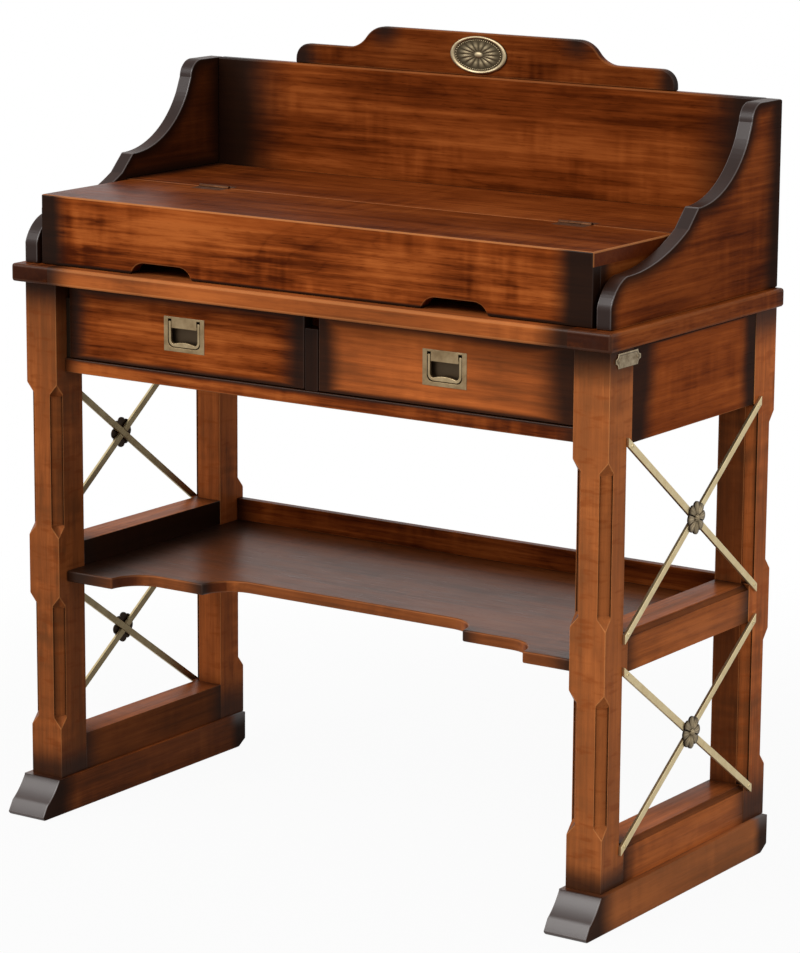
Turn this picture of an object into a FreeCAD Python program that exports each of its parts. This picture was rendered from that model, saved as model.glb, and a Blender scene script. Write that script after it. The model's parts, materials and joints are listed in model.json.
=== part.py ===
"""Campaign writing desk on sledge feet, with a folding hood, two drawers and brass braces.

Millimetres. X runs to the right, Y to the back and Z up. The origin lies on the floor, in the
middle of the feet and of the desk top. A side of -1 is the left of the desk and 1 the right.
"""
import FreeCAD, Part
import itertools
import math
import os
import Sketcher

SIDES = {"left": -1, "right": 1}
PLANE_SENSE = {"XY": 1, "XZ": -1, "YZ": 1}

doc = FreeCAD.newDocument("CampaignDesk")
sheet = doc.addObject("Spreadsheet::Sheet", "Sizes")
sheet_rows = itertools.count(1)
nodes = []


class Size:
    """A length held both as a number and as the expression on the sheet that gives it."""

    def __init__(self, value, text):
        self.value = value
        self.text = text

    def __add__(self, other):
        return join(self, "+", other)

    def __radd__(self, other):
        return join(other, "+", self)

    def __sub__(self, other):
        return join(self, "-", other)

    def __rsub__(self, other):
        return join(other, "-", self)

    def __mul__(self, other):
        return join(self, "*", other)

    def __rmul__(self, other):
        return join(other, "*", self)

    def __truediv__(self, other):
        return join(self, "/", other)

    def __neg__(self):
        return join(0, "-", self)


class Arc:
    """A round stretch of an outline that ends at (u, v) and turns left (1) or right (-1)."""

    def __init__(self, u, v, radius, turn):
        self.point = (u, v)
        self.radius = radius
        self.turn = turn


def as_size(length):
    """Give a plain number the form of a Size."""
    if isinstance(length, Size):
        return length
    return Size(float(length), repr(float(length)))


def join(first, sign, second):
    """Work out first sign second, as a number and as an expression."""
    a = as_size(first)
    b = as_size(second)
    answers = {"+": a.value + b.value, "-": a.value - b.value, "*": a.value * b.value}
    value = a.value / b.value if sign == "/" else answers[sign]
    return Size(value, f"({a.text} {sign} {b.text})")


def size(name, value):
    """Put a driving dimension in the next row of the sheet, and give it back to work with."""
    row = next(sheet_rows)
    sheet.set(f"A{row}", name)
    sheet.set(f"B{row}", str(value))
    sheet.setAlias(f"B{row}", name)
    return Size(float(value), f"Sizes.{name}")


# Desk top
side_overhang = size("side_overhang", 11)
desk_height = size("desk_height", 780)
slab_depth = size("slab_depth", 445)
slab_thick = size("slab_thick", 25)
breadboard_width = size("breadboard_width", 64)
tongue_thick = size("tongue_thick", 8)
tongue_reach = size("tongue_reach", 12)
tongue_stop = size("tongue_stop", 20)

# Feet
foot_length = size("foot_length", 474.5)
foot_height = size("foot_height", 51.5)
foot_outreach = size("foot_outreach", 7.5)
foot_inreach = size("foot_inreach", 4)
toe_run = size("toe_run", 36.5)
toe_lip = size("toe_lip", 1.5)
toe_band = size("toe_band", 20)
toe_lean = size("toe_lean", 9.5)
toe_sweep = size("toe_sweep", 100)
toe_base = size("toe_base", 4)
heel_rise = size("heel_rise", 10)
heel_run = size("heel_run", 16)

# Posts and their stopped chamfers
frame_width = size("frame_width", 937)
post_width = size("post_width", 53)
post_depth = size("post_depth", 56)
front_overhang = size("front_overhang", 17)
chamfer_leg = size("chamfer_leg", 12.2)
chamfer_sink = size("chamfer_sink", 2.6)
stop_length = size("stop_length", 14.5)
upper_stop_drop = size("upper_stop_drop", 16)
upper_stop_rise = size("upper_stop_rise", 12)
lower_stop_drop = size("lower_stop_drop", 19)
lower_stop_rise = size("lower_stop_rise", 18)

# Side rails
rail_recess = size("rail_recess", 0.5)
rail_chamfer = size("rail_chamfer", 7)
rail_quirk = size("rail_quirk", 1.5)
lower_rail_height = size("lower_rail_height", 53)
mid_rail_base = size("mid_rail_base", 333)
mid_rail_height = size("mid_rail_height", 51.5)
tenon_length = size("tenon_length", 26)
tenon_thick = size("tenon_thick", 12)
tenon_shoulder = size("tenon_shoulder", 7)

# Shelf
shelf_thick = size("shelf_thick", 16)
shelf_housing = size("shelf_housing", 8)
shelf_tongue = size("shelf_tongue", 8)
shelf_front_set = size("shelf_front_set", 16)
shelf_back_set = size("shelf_back_set", 3)
cove_radius = size("cove_radius", 46)
shelf_wing = size("shelf_wing", 80.5)
shelf_step = size("shelf_step", 122)
shelf_rail_height = size("shelf_rail_height", 32)
shelf_rail_thick = size("shelf_rail_thick", 12)

# Drawer case
case_height = size("case_height", 125)
case_side_thick = size("case_side_thick", 18)
case_back_thick = size("case_back_thick", 16)
case_back_set = size("case_back_set", 10)
drawer_rail_height = size("drawer_rail_height", 19.5)
drawer_rail_depth = size("drawer_rail_depth", 45)
drawer_rail_proud = size("drawer_rail_proud", 2)
drawer_set = size("drawer_set", 20)
top_rail_height = size("top_rail_height", 22)
top_rail_depth = size("top_rail_depth", 22)
stop_gap = size("stop_gap", 0.4)
divider_width = size("divider_width", 21)
guide_thick = size("guide_thick", 6.5)
guide_set = size("guide_set", 2.5)
runner_width = size("runner_width", 30)
runner_height = size("runner_height", 16)
kicker_width = size("kicker_width", 30)
stub_gap = size("stub_gap", 1)
stub_thick = size("stub_thick", 9)

# Drawers
drawer_gap = size("drawer_gap", 1)
drawer_front_thick = size("drawer_front_thick", 20)
drawer_front_under = size("drawer_front_under", 1.5)
drawer_front_over = size("drawer_front_over", 2)
drawer_back_room = size("drawer_back_room", 25)
drawer_side_thick = size("drawer_side_thick", 12)
drawer_headroom = size("drawer_headroom", 4.2)
drawer_back_thick = size("drawer_back_thick", 12)
drawer_back_inset = size("drawer_back_inset", 4)
drawer_bottom_thick = size("drawer_bottom_thick", 6)
drawer_groove = size("drawer_groove", 5)
drawer_groove_rise = size("drawer_groove_rise", 8)
slide_gap = size("slide_gap", 0.3)

# Flush pulls
plate_width = size("plate_width", 68)
plate_height = size("plate_height", 47.5)
plate_thick = size("plate_thick", 2)
plate_proud = size("plate_proud", 0.6)
cup_width = size("cup_width", 59)
cup_height = size("cup_height", 42)
cup_depth = size("cup_depth", 11)
recess_width = size("recess_width", 54)
recess_floor = size("recess_floor", 2)
recess_foot = size("recess_foot", 5.6)
recess_head = size("recess_head", 3)
recess_corner = size("recess_corner", 8)
lip_width = size("lip_width", 42)
lip_drop = size("lip_drop", 15.5)
bail_gap = size("bail_gap", 0.9)
bail_leg = size("bail_leg", 3.8)
bail_thick = size("bail_thick", 4)
bail_bar = size("bail_bar", 4.2)
bail_swell = size("bail_swell", 2.6)
bail_corner = size("bail_corner", 9)
bail_pivot_drop = size("bail_pivot_drop", 8.4)
bail_head = size("bail_head", 2.1)
pivot_radius = size("pivot_radius", 1.2)
pivot_length = size("pivot_length", 2.6)
pivot_play = size("pivot_play", 0.05)

# Hood and rear cover
hood_side_gap = size("hood_side_gap", 6.5)
hood_height = size("hood_height", 96)
hood_set = size("hood_set", 19)
hood_depth = size("hood_depth", 197)
hood_gap = size("hood_gap", 0.5)
lid_thick = size("lid_thick", 19)
hood_front_thick = size("hood_front_thick", 18)
cheek_thick = size("cheek_thick", 18)
seam_gap = size("seam_gap", 1)
cover_housing = size("cover_housing", 8)
notch_inset = size("notch_inset", 205)
notch_width = size("notch_width", 102)
notch_flat = size("notch_flat", 58)
notch_height = size("notch_height", 16)

# Hinges
hinge_inset = size("hinge_inset", 147)
hinge_length = size("hinge_length", 50)
hinge_leaf = size("hinge_leaf", 22)
leaf_thick = size("leaf_thick", 1.6)
knuckle_radius = size("knuckle_radius", 3)
knuckle_lift = size("knuckle_lift", 0.4)
knuckle_room = size("knuckle_room", 0.4)
lid_knuckle = size("lid_knuckle", 18)
knuckle_gap = size("knuckle_gap", 0.3)
pin_radius = size("pin_radius", 1.2)
pin_play = size("pin_play", 0.05)

# Gallery
gallery_thick = size("gallery_thick", 22)
gallery_height = size("gallery_height", 250)
gallery_reach = size("gallery_reach", 428)
gallery_back_thick = size("gallery_back_thick", 16)
top_run = size("top_run", 54.5)
top_round = size("top_round", 25)
shoulder_run = size("shoulder_run", 79.5)
shoulder_drop = size("shoulder_drop", 24)
upper_start_run = size("upper_start_run", 88.5)
upper_start_rise = size("upper_start_rise", 205)
upper_scoop = size("upper_scoop", 142)
upper_nick_run = size("upper_nick_run", 214.5)
upper_nick_rise = size("upper_nick_rise", 130)
lower_start_run = size("lower_start_run", 239.5)
lower_start_rise = size("lower_start_rise", 105)
lower_scoop = size("lower_scoop", 300)
lower_nick_run = size("lower_nick_run", 389.5)
lower_nick_rise = size("lower_nick_rise", 64)
nose_rise = size("nose_rise", 28)
nose_round = size("nose_round", 55)

# Crest and plaque
crest_inset = size("crest_inset", 135.5)
crest_height = size("crest_height", 59.5)
crest_end_height = size("crest_end_height", 28)
crest_end_round = size("crest_end_round", 22)
crest_thick = size("crest_thick", 11.5)
crest_end_run = size("crest_end_run", 90)
ogee_run = size("ogee_run", 63)
plaque_length = size("plaque_length", 92)
plaque_height = size("plaque_height", 52)
plaque_end = size("plaque_end", 18)
plaque_thick = size("plaque_thick", 3)
plaque_rim = size("plaque_rim", 4)
plaque_sink = size("plaque_sink", 1)

# Braces and rosettes
brace_thick = size("brace_thick", 4.5)
brace_drop = size("brace_drop", 11.8)
brace_lap = size("brace_lap", 14)
brace_end_drop = size("brace_end_drop", 6)
brace_end_rise = size("brace_end_rise", 4)
rosette_radius = size("rosette_radius", 22)
petal_half_width = size("petal_half_width", 5.8)
petal_height = size("petal_height", 4)
petal_tip = size("petal_tip", 4.2)
petal_root = size("petal_root", 5)
root_half_width = size("root_half_width", 1.8)
rosette_core = size("rosette_core", 15)
rosette_core_height = size("rosette_core_height", 2.4)
boss_radius = size("boss_radius", 6)
boss_height = size("boss_height", 6.5)
petal_count = size("petal_count", 8)

# Plate on the right front post
leg_plate_length = size("leg_plate_length", 60)
leg_plate_height = size("leg_plate_height", 19)
leg_plate_thick = size("leg_plate_thick", 1.6)
leg_plate_scallop = size("leg_plate_scallop", 6.5)
leg_plate_set = size("leg_plate_set", 11)
leg_plate_drop = size("leg_plate_drop", 5.5)

doc.recompute()

# Levels and faces that several pieces share
desk_width = frame_width + side_overhang * 2
back_face = foot_length / 2
slab_base = desk_height - slab_thick
slab_front = back_face - slab_depth
post_outer = frame_width / 2
post_inner = post_outer - post_width
post_front = slab_front + front_overhang
bay_front = post_front + post_depth
bay_back = back_face - post_depth
bay_middle = (bay_front + bay_back) / 2
bay_length = bay_back - bay_front
rail_outer = post_outer - rail_recess
rail_depth = rail_outer - post_inner
rail_tenon_near = (rail_depth - tenon_thick) / 2
stub_tenon = rail_tenon_near - stub_gap
lower_rail_top = foot_height + lower_rail_height
mid_rail_top = mid_rail_base + mid_rail_height
shelf_top = mid_rail_base + shelf_thick
shelf_front = post_front + shelf_front_set
shelf_back = back_face - shelf_back_set
outer_cove = post_inner - shelf_wing
inner_cove = outer_cove - shelf_step
case_base = slab_base - case_height
drawer_face = post_front + drawer_set
drawer_floor = case_base + drawer_rail_height
drawer_rail_front = drawer_face - drawer_rail_proud
drawer_rail_back = drawer_rail_front + drawer_rail_depth
drawer_inner_face = drawer_face + drawer_front_thick
top_rail_base = slab_base - top_rail_height
top_rail_front = drawer_inner_face + stop_gap
top_rail_back = top_rail_front + top_rail_depth
case_back_front = back_face - case_back_set - case_back_thick
guide_inner = post_inner - guide_thick
drawer_near = divider_width / 2 + drawer_gap
drawer_far = guide_inner - drawer_gap
drawer_width = drawer_far - drawer_near
drawer_middle = (drawer_near + drawer_far) / 2
drawer_base = drawer_floor + slide_gap
drawer_length = case_back_front - drawer_face - drawer_back_room
drawer_side_length = drawer_length - drawer_front_thick
drawer_side_height = top_rail_base - drawer_base - drawer_headroom
gallery_inner = post_outer - gallery_thick
gallery_back_front = back_face - gallery_back_thick
gallery_top = desk_height + gallery_height
hood_half = gallery_inner - hood_side_gap
hinge_offset = hood_half - hinge_inset
hood_front_face = slab_front + hood_set
hood_top = desk_height + hood_height
hood_base = desk_height + hood_gap
seam = hood_front_face + hood_depth + seam_gap / 2
lid_base = hood_top - lid_thick


def bind(item, path, length):
    """Tie a property of an object to the sheet."""
    item.setExpression(path, as_size(length).text)


def new_body(label, at=(0, 0, 0), turn=None, is_node=True):
    """Start a body at a place given by three lengths, turned by (axis, degrees)."""
    body = doc.addObject("PartDesign::Body", label)
    body.Label = label
    if turn:
        body.Placement.Rotation = FreeCAD.Rotation(FreeCAD.Vector(*turn[0]), turn[1])
    for axis, length in zip("xyz", at):
        bind(body, f".Placement.Base.{axis}", length)
    if is_node:
        nodes.append(body)
    return body


def new_sketch(body, plane, offset=0, origin=(0, 0), turn=0):
    """Attach a sketch to an origin plane of the body, moved along the axis that the plane faces."""
    support = [f for f in body.Origin.OriginFeatures if f.Role == f"{plane}_Plane"][0]
    sketch = body.newObject("Sketcher::SketchObject", f"{body.Name}_sketch")
    sketch.AttachmentSupport = [(support, "")]
    sketch.MapMode = "FlatFace"
    spin = FreeCAD.Rotation(FreeCAD.Vector(0, 1, 0), turn)
    sketch.AttachmentOffset = FreeCAD.Placement(FreeCAD.Vector(), spin)
    bind(sketch, ".AttachmentOffset.Base.x", origin[0])
    bind(sketch, ".AttachmentOffset.Base.y", origin[1])
    bind(sketch, ".AttachmentOffset.Base.z", as_size(offset) * PLANE_SENSE[plane])
    return sketch


def fix_point(sketch, geometry, end, point):
    """Hold one end of a line or arc at a point given from the sketch's origin."""
    for kind, length in zip(("DistanceX", "DistanceY"), point):
        length = as_size(length)
        number = sketch.addConstraint(Sketcher.Constraint(kind, -1, 1, geometry, end, length.value))
        bind(sketch, f"Constraints[{number}]", length)


def arc_geometry(start, end, radius, turn):
    """Make the arc from start to end of a given radius, turning left (1) or right (-1)."""
    chord = end - start
    rise = math.sqrt(max(radius ** 2 - chord.Length ** 2 / 4, 0))
    across = FreeCAD.Vector(-chord.y, chord.x, 0)
    centre = (start + end) * 0.5 + across.normalize() * rise * turn
    first, last = (start, end) if turn > 0 else (end, start)
    begin = math.atan2(first.y - centre.y, first.x - centre.x)
    finish = math.atan2(last.y - centre.y, last.x - centre.x)
    circle = Part.Circle(centre, FreeCAD.Vector(0, 0, 1), radius)
    return Part.ArcOfCircle(circle, begin, finish if finish > begin else finish + 2 * math.pi)


def draw(sketch, *path):
    """Draw a closed outline through points (u, v) and Arcs, every corner tied to the sheet."""
    corners = [step.point if isinstance(step, Arc) else step for step in path]
    spots = [FreeCAD.Vector(as_size(u).value, as_size(v).value, 0) for u, v in corners]
    ends = []
    for index in range(len(path)):
        following = (index + 1) % len(path)
        step = path[following]
        start, end = spots[index], spots[following]
        if isinstance(step, Arc):
            radius = as_size(step.radius)
            number = sketch.addGeometry(arc_geometry(start, end, radius.value, step.turn), False)
            held = sketch.addConstraint(Sketcher.Constraint("Radius", number, radius.value))
            bind(sketch, f"Constraints[{held}]", radius)
            ends.append((number, 1, 2) if step.turn > 0 else (number, 2, 1))
        else:
            number = sketch.addGeometry(Part.LineSegment(start, end), False)
            ends.append((number, 1, 2))
    for index, (number, first, last) in enumerate(ends):
        after, after_first, _ = ends[(index + 1) % len(ends)]
        sketch.addConstraint(Sketcher.Constraint("Coincident", number, last, after, after_first))
        fix_point(sketch, number, first, corners[index])
    return sketch


def draw_box(sketch, u0, u1, v0, v1):
    """Draw a rectangle between two pairs of lengths."""
    return draw(sketch, (u0, v0), (u1, v0), (u1, v1), (u0, v1))


def draw_circle(sketch, u, v, radius):
    """Draw a circle about a point."""
    radius = as_size(radius)
    centre = FreeCAD.Vector(as_size(u).value, as_size(v).value, 0)
    circle = Part.Circle(centre, FreeCAD.Vector(0, 0, 1), radius.value)
    number = sketch.addGeometry(circle, False)
    held = sketch.addConstraint(Sketcher.Constraint("Radius", number, radius.value))
    bind(sketch, f"Constraints[{held}]", radius)
    fix_point(sketch, number, 3, (u, v))
    return sketch


def extrude(kind, body, sketch, length, both_ways):
    """Add a Pad or a Pocket, one way along the sketch's normal or half each way."""
    feature = body.newObject(f"PartDesign::{kind}", f"{body.Name}_{kind.lower()}")
    feature.Profile = sketch
    feature.SideType = "Symmetric" if both_ways else "One side"
    bind(feature, "Length", length)
    return feature


def pad(body, sketch, length, both_ways=False):
    """Raise a sketch into a solid."""
    return extrude("Pad", body, sketch, length, both_ways)


def cut(body, sketch, depth):
    """Cut a sketch into the body to a depth on each side of its plane."""
    return extrude("Pocket", body, sketch, as_size(depth) * 2, True)


def board(label, width, depth, height, at):
    """Make a plain board from its lowest corner."""
    body = new_body(label, at)
    pad(body, draw_box(new_sketch(body, "XY"), 0, width, 0, depth), height)
    return body


def group(label, bodies):
    """Keep identical pieces together in one node, as separate solids."""
    compound = doc.addObject("Part::Compound", label)
    compound.Label = label
    compound.Links = bodies
    nodes.append(compound)


def make_feet():
    """Two sledge feet: a flat runner with a coved toe over a leaning band, and a cut-back heel."""
    width = post_width + foot_outreach + foot_inreach
    toe = -back_face
    for name, side in SIDES.items():
        middle = post_inner - foot_inreach + width / 2
        foot = new_body(f"{name}_foot", (middle * side, 0, 0))
        profile = draw(
            new_sketch(foot, "YZ"),
            (toe + toe_base, 0),
            (back_face - heel_run, 0),
            (back_face, heel_rise),
            (back_face, foot_height),
            (toe + toe_run, foot_height),
            (toe + toe_run, foot_height - toe_lip),
            Arc(toe + toe_lean, toe_band, toe_sweep, -1),
            (toe, toe_base),
        )
        pad(foot, profile, width, both_ways=True)


def chamfer_post(post, corner, inward, spans, stop):
    """Cut chamfers along one edge of a post, each with its face sunk between two square walls.

    corner is the edge's place in plan, inward its direction to the middle of the post as two
    signs, spans the pairs of heights between which each chamfer runs, and stop the length over
    which it runs out to a point, or zero for square ends.
    """
    depth = chamfer_leg / math.sqrt(2)
    slope = stop / depth
    turn = math.degrees(math.atan2(inward[1], inward[0]))
    reach = depth + chamfer_sink
    run = slope * reach
    sketch = new_sketch(post, "XZ", corner[1], (corner[0], 0), turn)
    for low, high in spans:
        draw(sketch, (reach, low + run), (reach, high - run), (-reach, high + run), (-reach, low - run))
    cut(post, sketch, depth)


def make_posts():
    """Four posts on the feet, mortised for the rails.

    The chamfers of the outer bay edges run from rail to rail, and those of the two edges away
    from the bays stop short of each rail.
    """
    bay_spans = ((lower_rail_top, mid_rail_base), (mid_rail_top, case_base))
    outer_spans = ((lower_rail_top + lower_stop_rise, mid_rail_base - lower_stop_drop),
                   (mid_rail_top + upper_stop_rise, case_base - upper_stop_drop))
    for end, away, bay_face in (("front", -1, bay_front), ("rear", 1, bay_back)):
        for name, side in SIDES.items():
            post = new_body(f"{name}_{end}_post", (post_inner * side, bay_face, 0))
            plan = draw_box(new_sketch(post, "XY", foot_height), 0, post_width * side, 0, post_depth * away)
            pad(post, plan, slab_base - foot_height)
            mortise_bay_face(post, side)
            mortise_inner_face(post, end, bay_face)
            chamfer_post(post, (post_width * side, 0), (-side, away), bay_spans, as_size(0))
            for edge, inward_x in ((as_size(0), side), (post_width * side, -side)):
                chamfer_post(post, (edge, post_depth * away), (inward_x, -away), outer_spans, stop_length)


def mortise_bay_face(post, side):
    """Sink the mortises of the two side rails and the case side, all of one width."""
    side_near = rail_depth - (case_side_thick + stub_thick) / 2
    seats = (
        (rail_tenon_near, tenon_thick, foot_height, lower_rail_height),
        (rail_tenon_near, tenon_thick, mid_rail_base, mid_rail_height),
        (side_near, stub_thick, case_base, case_height),
    )
    sketch = new_sketch(post, "XZ")
    for near, thick, base, height in seats:
        draw_box(sketch, near * side, (near + thick) * side, base + tenon_shoulder,
                 base + height - tenon_shoulder)
    cut(post, sketch, tenon_length)


def mortise_inner_face(post, end, bay_face):
    """Sink the mortises of the rails that run from left to right."""
    front_seats = (
        (drawer_rail_front, drawer_rail_depth, case_base, drawer_rail_height),
        (top_rail_front, top_rail_depth, top_rail_base, top_rail_height),
    )
    rear_seats = (
        (shelf_back - shelf_rail_thick, shelf_rail_thick, shelf_top, shelf_rail_height),
        (case_back_front, case_back_thick, case_base, case_height),
    )
    sketch = new_sketch(post, "YZ")
    for front, depth, base, height in front_seats if end == "front" else rear_seats:
        draw_stub(sketch, front - bay_face, depth, base, height)
    cut(post, sketch, stub_tenon)


def draw_stub(sketch, front, depth, base, height):
    """Draw the section of a stub tenon in the middle of a rail's own section."""
    edge = (depth - stub_thick) / 2 if depth.value < height.value else tenon_shoulder
    shoulder = tenon_shoulder if depth.value < height.value else (height - stub_thick) / 2
    draw_box(sketch, front + edge, front + depth - edge, base + shoulder, base + height - shoulder)


def side_rail_section(sketch, side, height, housing):
    """Draw a side rail's section: a chamfered, quirked outer top edge and perhaps a shelf housing."""
    outer = rail_depth
    path = [(0, 0), (outer * side, 0), (outer * side, height - rail_chamfer)]
    path.append(((outer - rail_quirk) * side, height - rail_chamfer))
    path.append(((outer - rail_chamfer) * side, height - rail_quirk))
    path.append(((outer - rail_chamfer) * side, height))
    path.append((0, height))
    if housing:
        low, high = housing
        path += [(0, high), (shelf_housing * side, high), (shelf_housing * side, low), (0, low)]
    return draw(sketch, *path)


def make_side_rails():
    """Lower rails on the feet and mid rails that house the shelf, tenoned into the posts."""
    shelf_slot = (shelf_thick - shelf_tongue, shelf_thick)
    kinds = (("lower", foot_height, lower_rail_height, None),
             ("mid", mid_rail_base, mid_rail_height, shelf_slot))
    far = rail_tenon_near + tenon_thick
    for kind, base, height, slot in kinds:
        for name, side in SIDES.items():
            rail = new_body(f"{name}_{kind}_rail", (post_inner * side, bay_middle, base))
            pad(rail, side_rail_section(new_sketch(rail, "XZ"), side, height, slot), bay_length, True)
            tenon = draw_box(new_sketch(rail, "XZ"), rail_tenon_near * side, far * side,
                             tenon_shoulder, height - tenon_shoulder)
            pad(rail, tenon, bay_length + tenon_length * 2, True)


def mirrored(half):
    """Carry an outline drawn from the middle to the right on to its mirror image on the left."""
    path = list(half)
    for index in range(len(half) - 1, -1, -1):
        step = half[index]
        point = step.point if isinstance(step, Arc) else step
        arrives = half[index + 1] if index + 1 < len(half) else None
        left = (-as_size(point[0]), point[1])
        if isinstance(arrives, Arc):
            path.append(Arc(left[0], left[1], arrives.radius, arrives.turn))
        else:
            path.append(left)
    return path


def make_shelf():
    """The shelf, stepped back to the middle by coves and tongued at each end, and its back rail."""
    shelf = new_body("shelf", (0, shelf_front, mid_rail_base))
    depth = shelf_back - shelf_front
    half = [
        (inner_cove - cove_radius, cove_radius * 2),
        Arc(inner_cove, cove_radius, cove_radius, -1),
        (outer_cove - cove_radius, cove_radius),
        Arc(outer_cove, 0, cove_radius, -1),
        (post_inner, 0),
        (post_inner, depth),
    ]
    pad(shelf, draw(new_sketch(shelf, "XY"), *mirrored(half)), shelf_thick)
    tongues = new_sketch(shelf, "XY", shelf_thick - shelf_tongue)
    for side in SIDES.values():
        draw_box(tongues, post_inner * side, (post_inner + shelf_housing) * side, bay_front - shelf_front,
                 bay_back - shelf_front)
    pad(shelf, tongues, shelf_tongue)
    cross_rail("shelf_back_rail", shelf_back - shelf_rail_thick, shelf_rail_thick, shelf_top,
               shelf_rail_height)


def cross_rail(label, front, depth, base, height):
    """A rail from left to right between the posts, with a stub tenon at each end."""
    rail = new_body(label, (0, front, base))
    pad(rail, draw_box(new_sketch(rail, "YZ"), 0, depth, 0, height), post_inner * 2, True)
    sketch = new_sketch(rail, "YZ")
    draw_stub(sketch, as_size(0), depth, as_size(0), height)
    pad(rail, sketch, (post_inner + stub_tenon) * 2, True)


def make_case():
    """The drawer case between the posts: sides, back, rails, divider, runners and kickers."""
    stub_near = rail_depth - (case_side_thick + stub_thick) / 2
    for name, side in SIDES.items():
        panel = new_body(f"{name}_case_side", (post_inner * side, bay_middle, case_base))
        inner = rail_depth - case_side_thick
        pad(panel, draw_box(new_sketch(panel, "XZ"), inner * side, rail_depth * side, 0, case_height),
            bay_length, True)
        tenon = draw_box(new_sketch(panel, "XZ"), stub_near * side, (stub_near + stub_thick) * side,
                         tenon_shoulder, case_height - tenon_shoulder)
        pad(panel, tenon, bay_length + tenon_length * 2, True)
    cross_rail("case_back", case_back_front, case_back_thick, case_base, case_height)
    cross_rail("drawer_rail", drawer_rail_front, drawer_rail_depth, case_base, drawer_rail_height)
    cross_rail("top_rail", top_rail_front, top_rail_depth, top_rail_base, top_rail_height)
    make_divider()
    make_runners()


def make_divider():
    """The board between the drawers, from the drawer faces to the case back, under the top rail."""
    height = top_rail_base - drawer_floor
    board("drawer_divider", divider_width, case_back_front - drawer_face, height,
          (-divider_width / 2, drawer_face, drawer_floor))


def make_runners():
    """Runners under the drawers with guides beside them, and kickers over the drawers."""
    run_length = case_back_front - drawer_rail_back
    guide_front = drawer_face + guide_set
    guide_height = top_rail_base - drawer_floor
    for name, side in SIDES.items():
        runner = new_body(f"{name}_drawer_runner", (post_inner * side, case_back_front, drawer_floor))
        base = draw_box(new_sketch(runner, "XY", -runner_height), 0, -runner_width * side, 0, -run_length)
        pad(runner, base, runner_height)
        guide = draw_box(new_sketch(runner, "XY"), 0, -guide_thick * side, 0, guide_front - case_back_front)
        pad(runner, guide, guide_height)
    board("centre_runner", runner_width * 2 + divider_width, run_length, runner_height,
          (-runner_width - divider_width / 2, drawer_rail_back, drawer_floor - runner_height))
    kickers = []
    span = case_back_front - top_rail_back
    middle = (post_inner - kicker_width / 2)
    for place, (x, width) in {"left": (-middle, kicker_width), "right": (middle, kicker_width),
                              "centre": (as_size(0), kicker_width * 2)}.items():
        kicker = new_body(f"{place}_kicker", (x - width / 2, top_rail_back, top_rail_base), is_node=False)
        pad(kicker, draw_box(new_sketch(kicker, "XY"), 0, width, 0, span), top_rail_height)
        kickers.append(kicker)
    group("drawer_kickers", kickers)


def make_drawers():
    """Two drawers, each a front with a mortise for its pull, two grooved sides, a back and a bottom."""
    for name, side in SIDES.items():
        middle = drawer_middle * side
        make_drawer_front(name, middle)
        make_drawer_sides(name, middle)
        inner_width = drawer_width - drawer_side_thick * 2
        bottom_base = drawer_base + drawer_groove_rise
        back_base = bottom_base + drawer_bottom_thick
        back_front = drawer_face + drawer_length - drawer_back_inset - drawer_back_thick
        board(f"{name}_drawer_back", inner_width, drawer_back_thick,
              drawer_base + drawer_side_height - back_base, (middle - inner_width / 2, back_front, back_base))
        bottom_front = drawer_inner_face - drawer_groove
        bottom_width = inner_width + drawer_groove * 2
        board(f"{name}_drawer_bottom", bottom_width, back_front + drawer_back_thick - bottom_front,
              drawer_bottom_thick, (middle - bottom_width / 2, bottom_front, bottom_base))


def make_drawer_front(name, middle):
    """A drawer front, grooved for the bottom and cut out for the flush pull."""
    base = drawer_floor + drawer_front_under
    height = slab_base - drawer_front_over - base
    front = new_body(f"{name}_drawer_front", (middle, drawer_face, base))
    half = drawer_width / 2
    pad(front, draw_box(new_sketch(front, "XY"), -half, half, 0, drawer_front_thick), height)
    groove_low = drawer_base + drawer_groove_rise - base
    inner_half = half - drawer_side_thick + drawer_groove
    groove = draw_box(new_sketch(front, "XZ", drawer_front_thick), -inner_half, inner_half, groove_low,
                      groove_low + drawer_bottom_thick)
    cut(front, groove, drawer_groove)
    centre = height / 2
    flange = draw_box(new_sketch(front, "XZ"), -plate_width / 2, plate_width / 2, centre - plate_height / 2,
                      centre + plate_height / 2)
    cut(front, flange, plate_thick - plate_proud)
    cup = draw_box(new_sketch(front, "XZ"), -cup_width / 2, cup_width / 2, centre - cup_height / 2,
                   centre + cup_height / 2)
    cut(front, cup, cup_depth - plate_proud)


def make_drawer_sides(name, middle):
    """The two sides of a drawer, each with a groove along its inner face for the bottom."""
    for hand, inward in (("left", 1), ("right", -1)):
        outer = middle - drawer_width / 2 * inward
        panel = new_body(f"{name}_drawer_{hand}_side", (outer, drawer_inner_face, drawer_base))
        pad(panel, draw_box(new_sketch(panel, "XY"), 0, drawer_side_thick * inward, 0, drawer_side_length),
            drawer_side_height)
        groove = draw_box(new_sketch(panel, "YZ", drawer_side_thick * inward), 0, drawer_side_length,
                          drawer_groove_rise, drawer_groove_rise + drawer_bottom_thick)
        cut(panel, groove, drawer_groove)


def make_pulls():
    """Flush pulls: a cup plate let into each drawer front, and a bail that swings out of it."""
    front_base = drawer_floor + drawer_front_under
    centre = (front_base + slab_base - drawer_front_over) / 2
    face = drawer_face - plate_proud
    for name, side in SIDES.items():
        make_cup_plate(name, (drawer_middle * side, face, centre))
        make_bail(name, (drawer_middle * side, face, centre))


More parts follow.
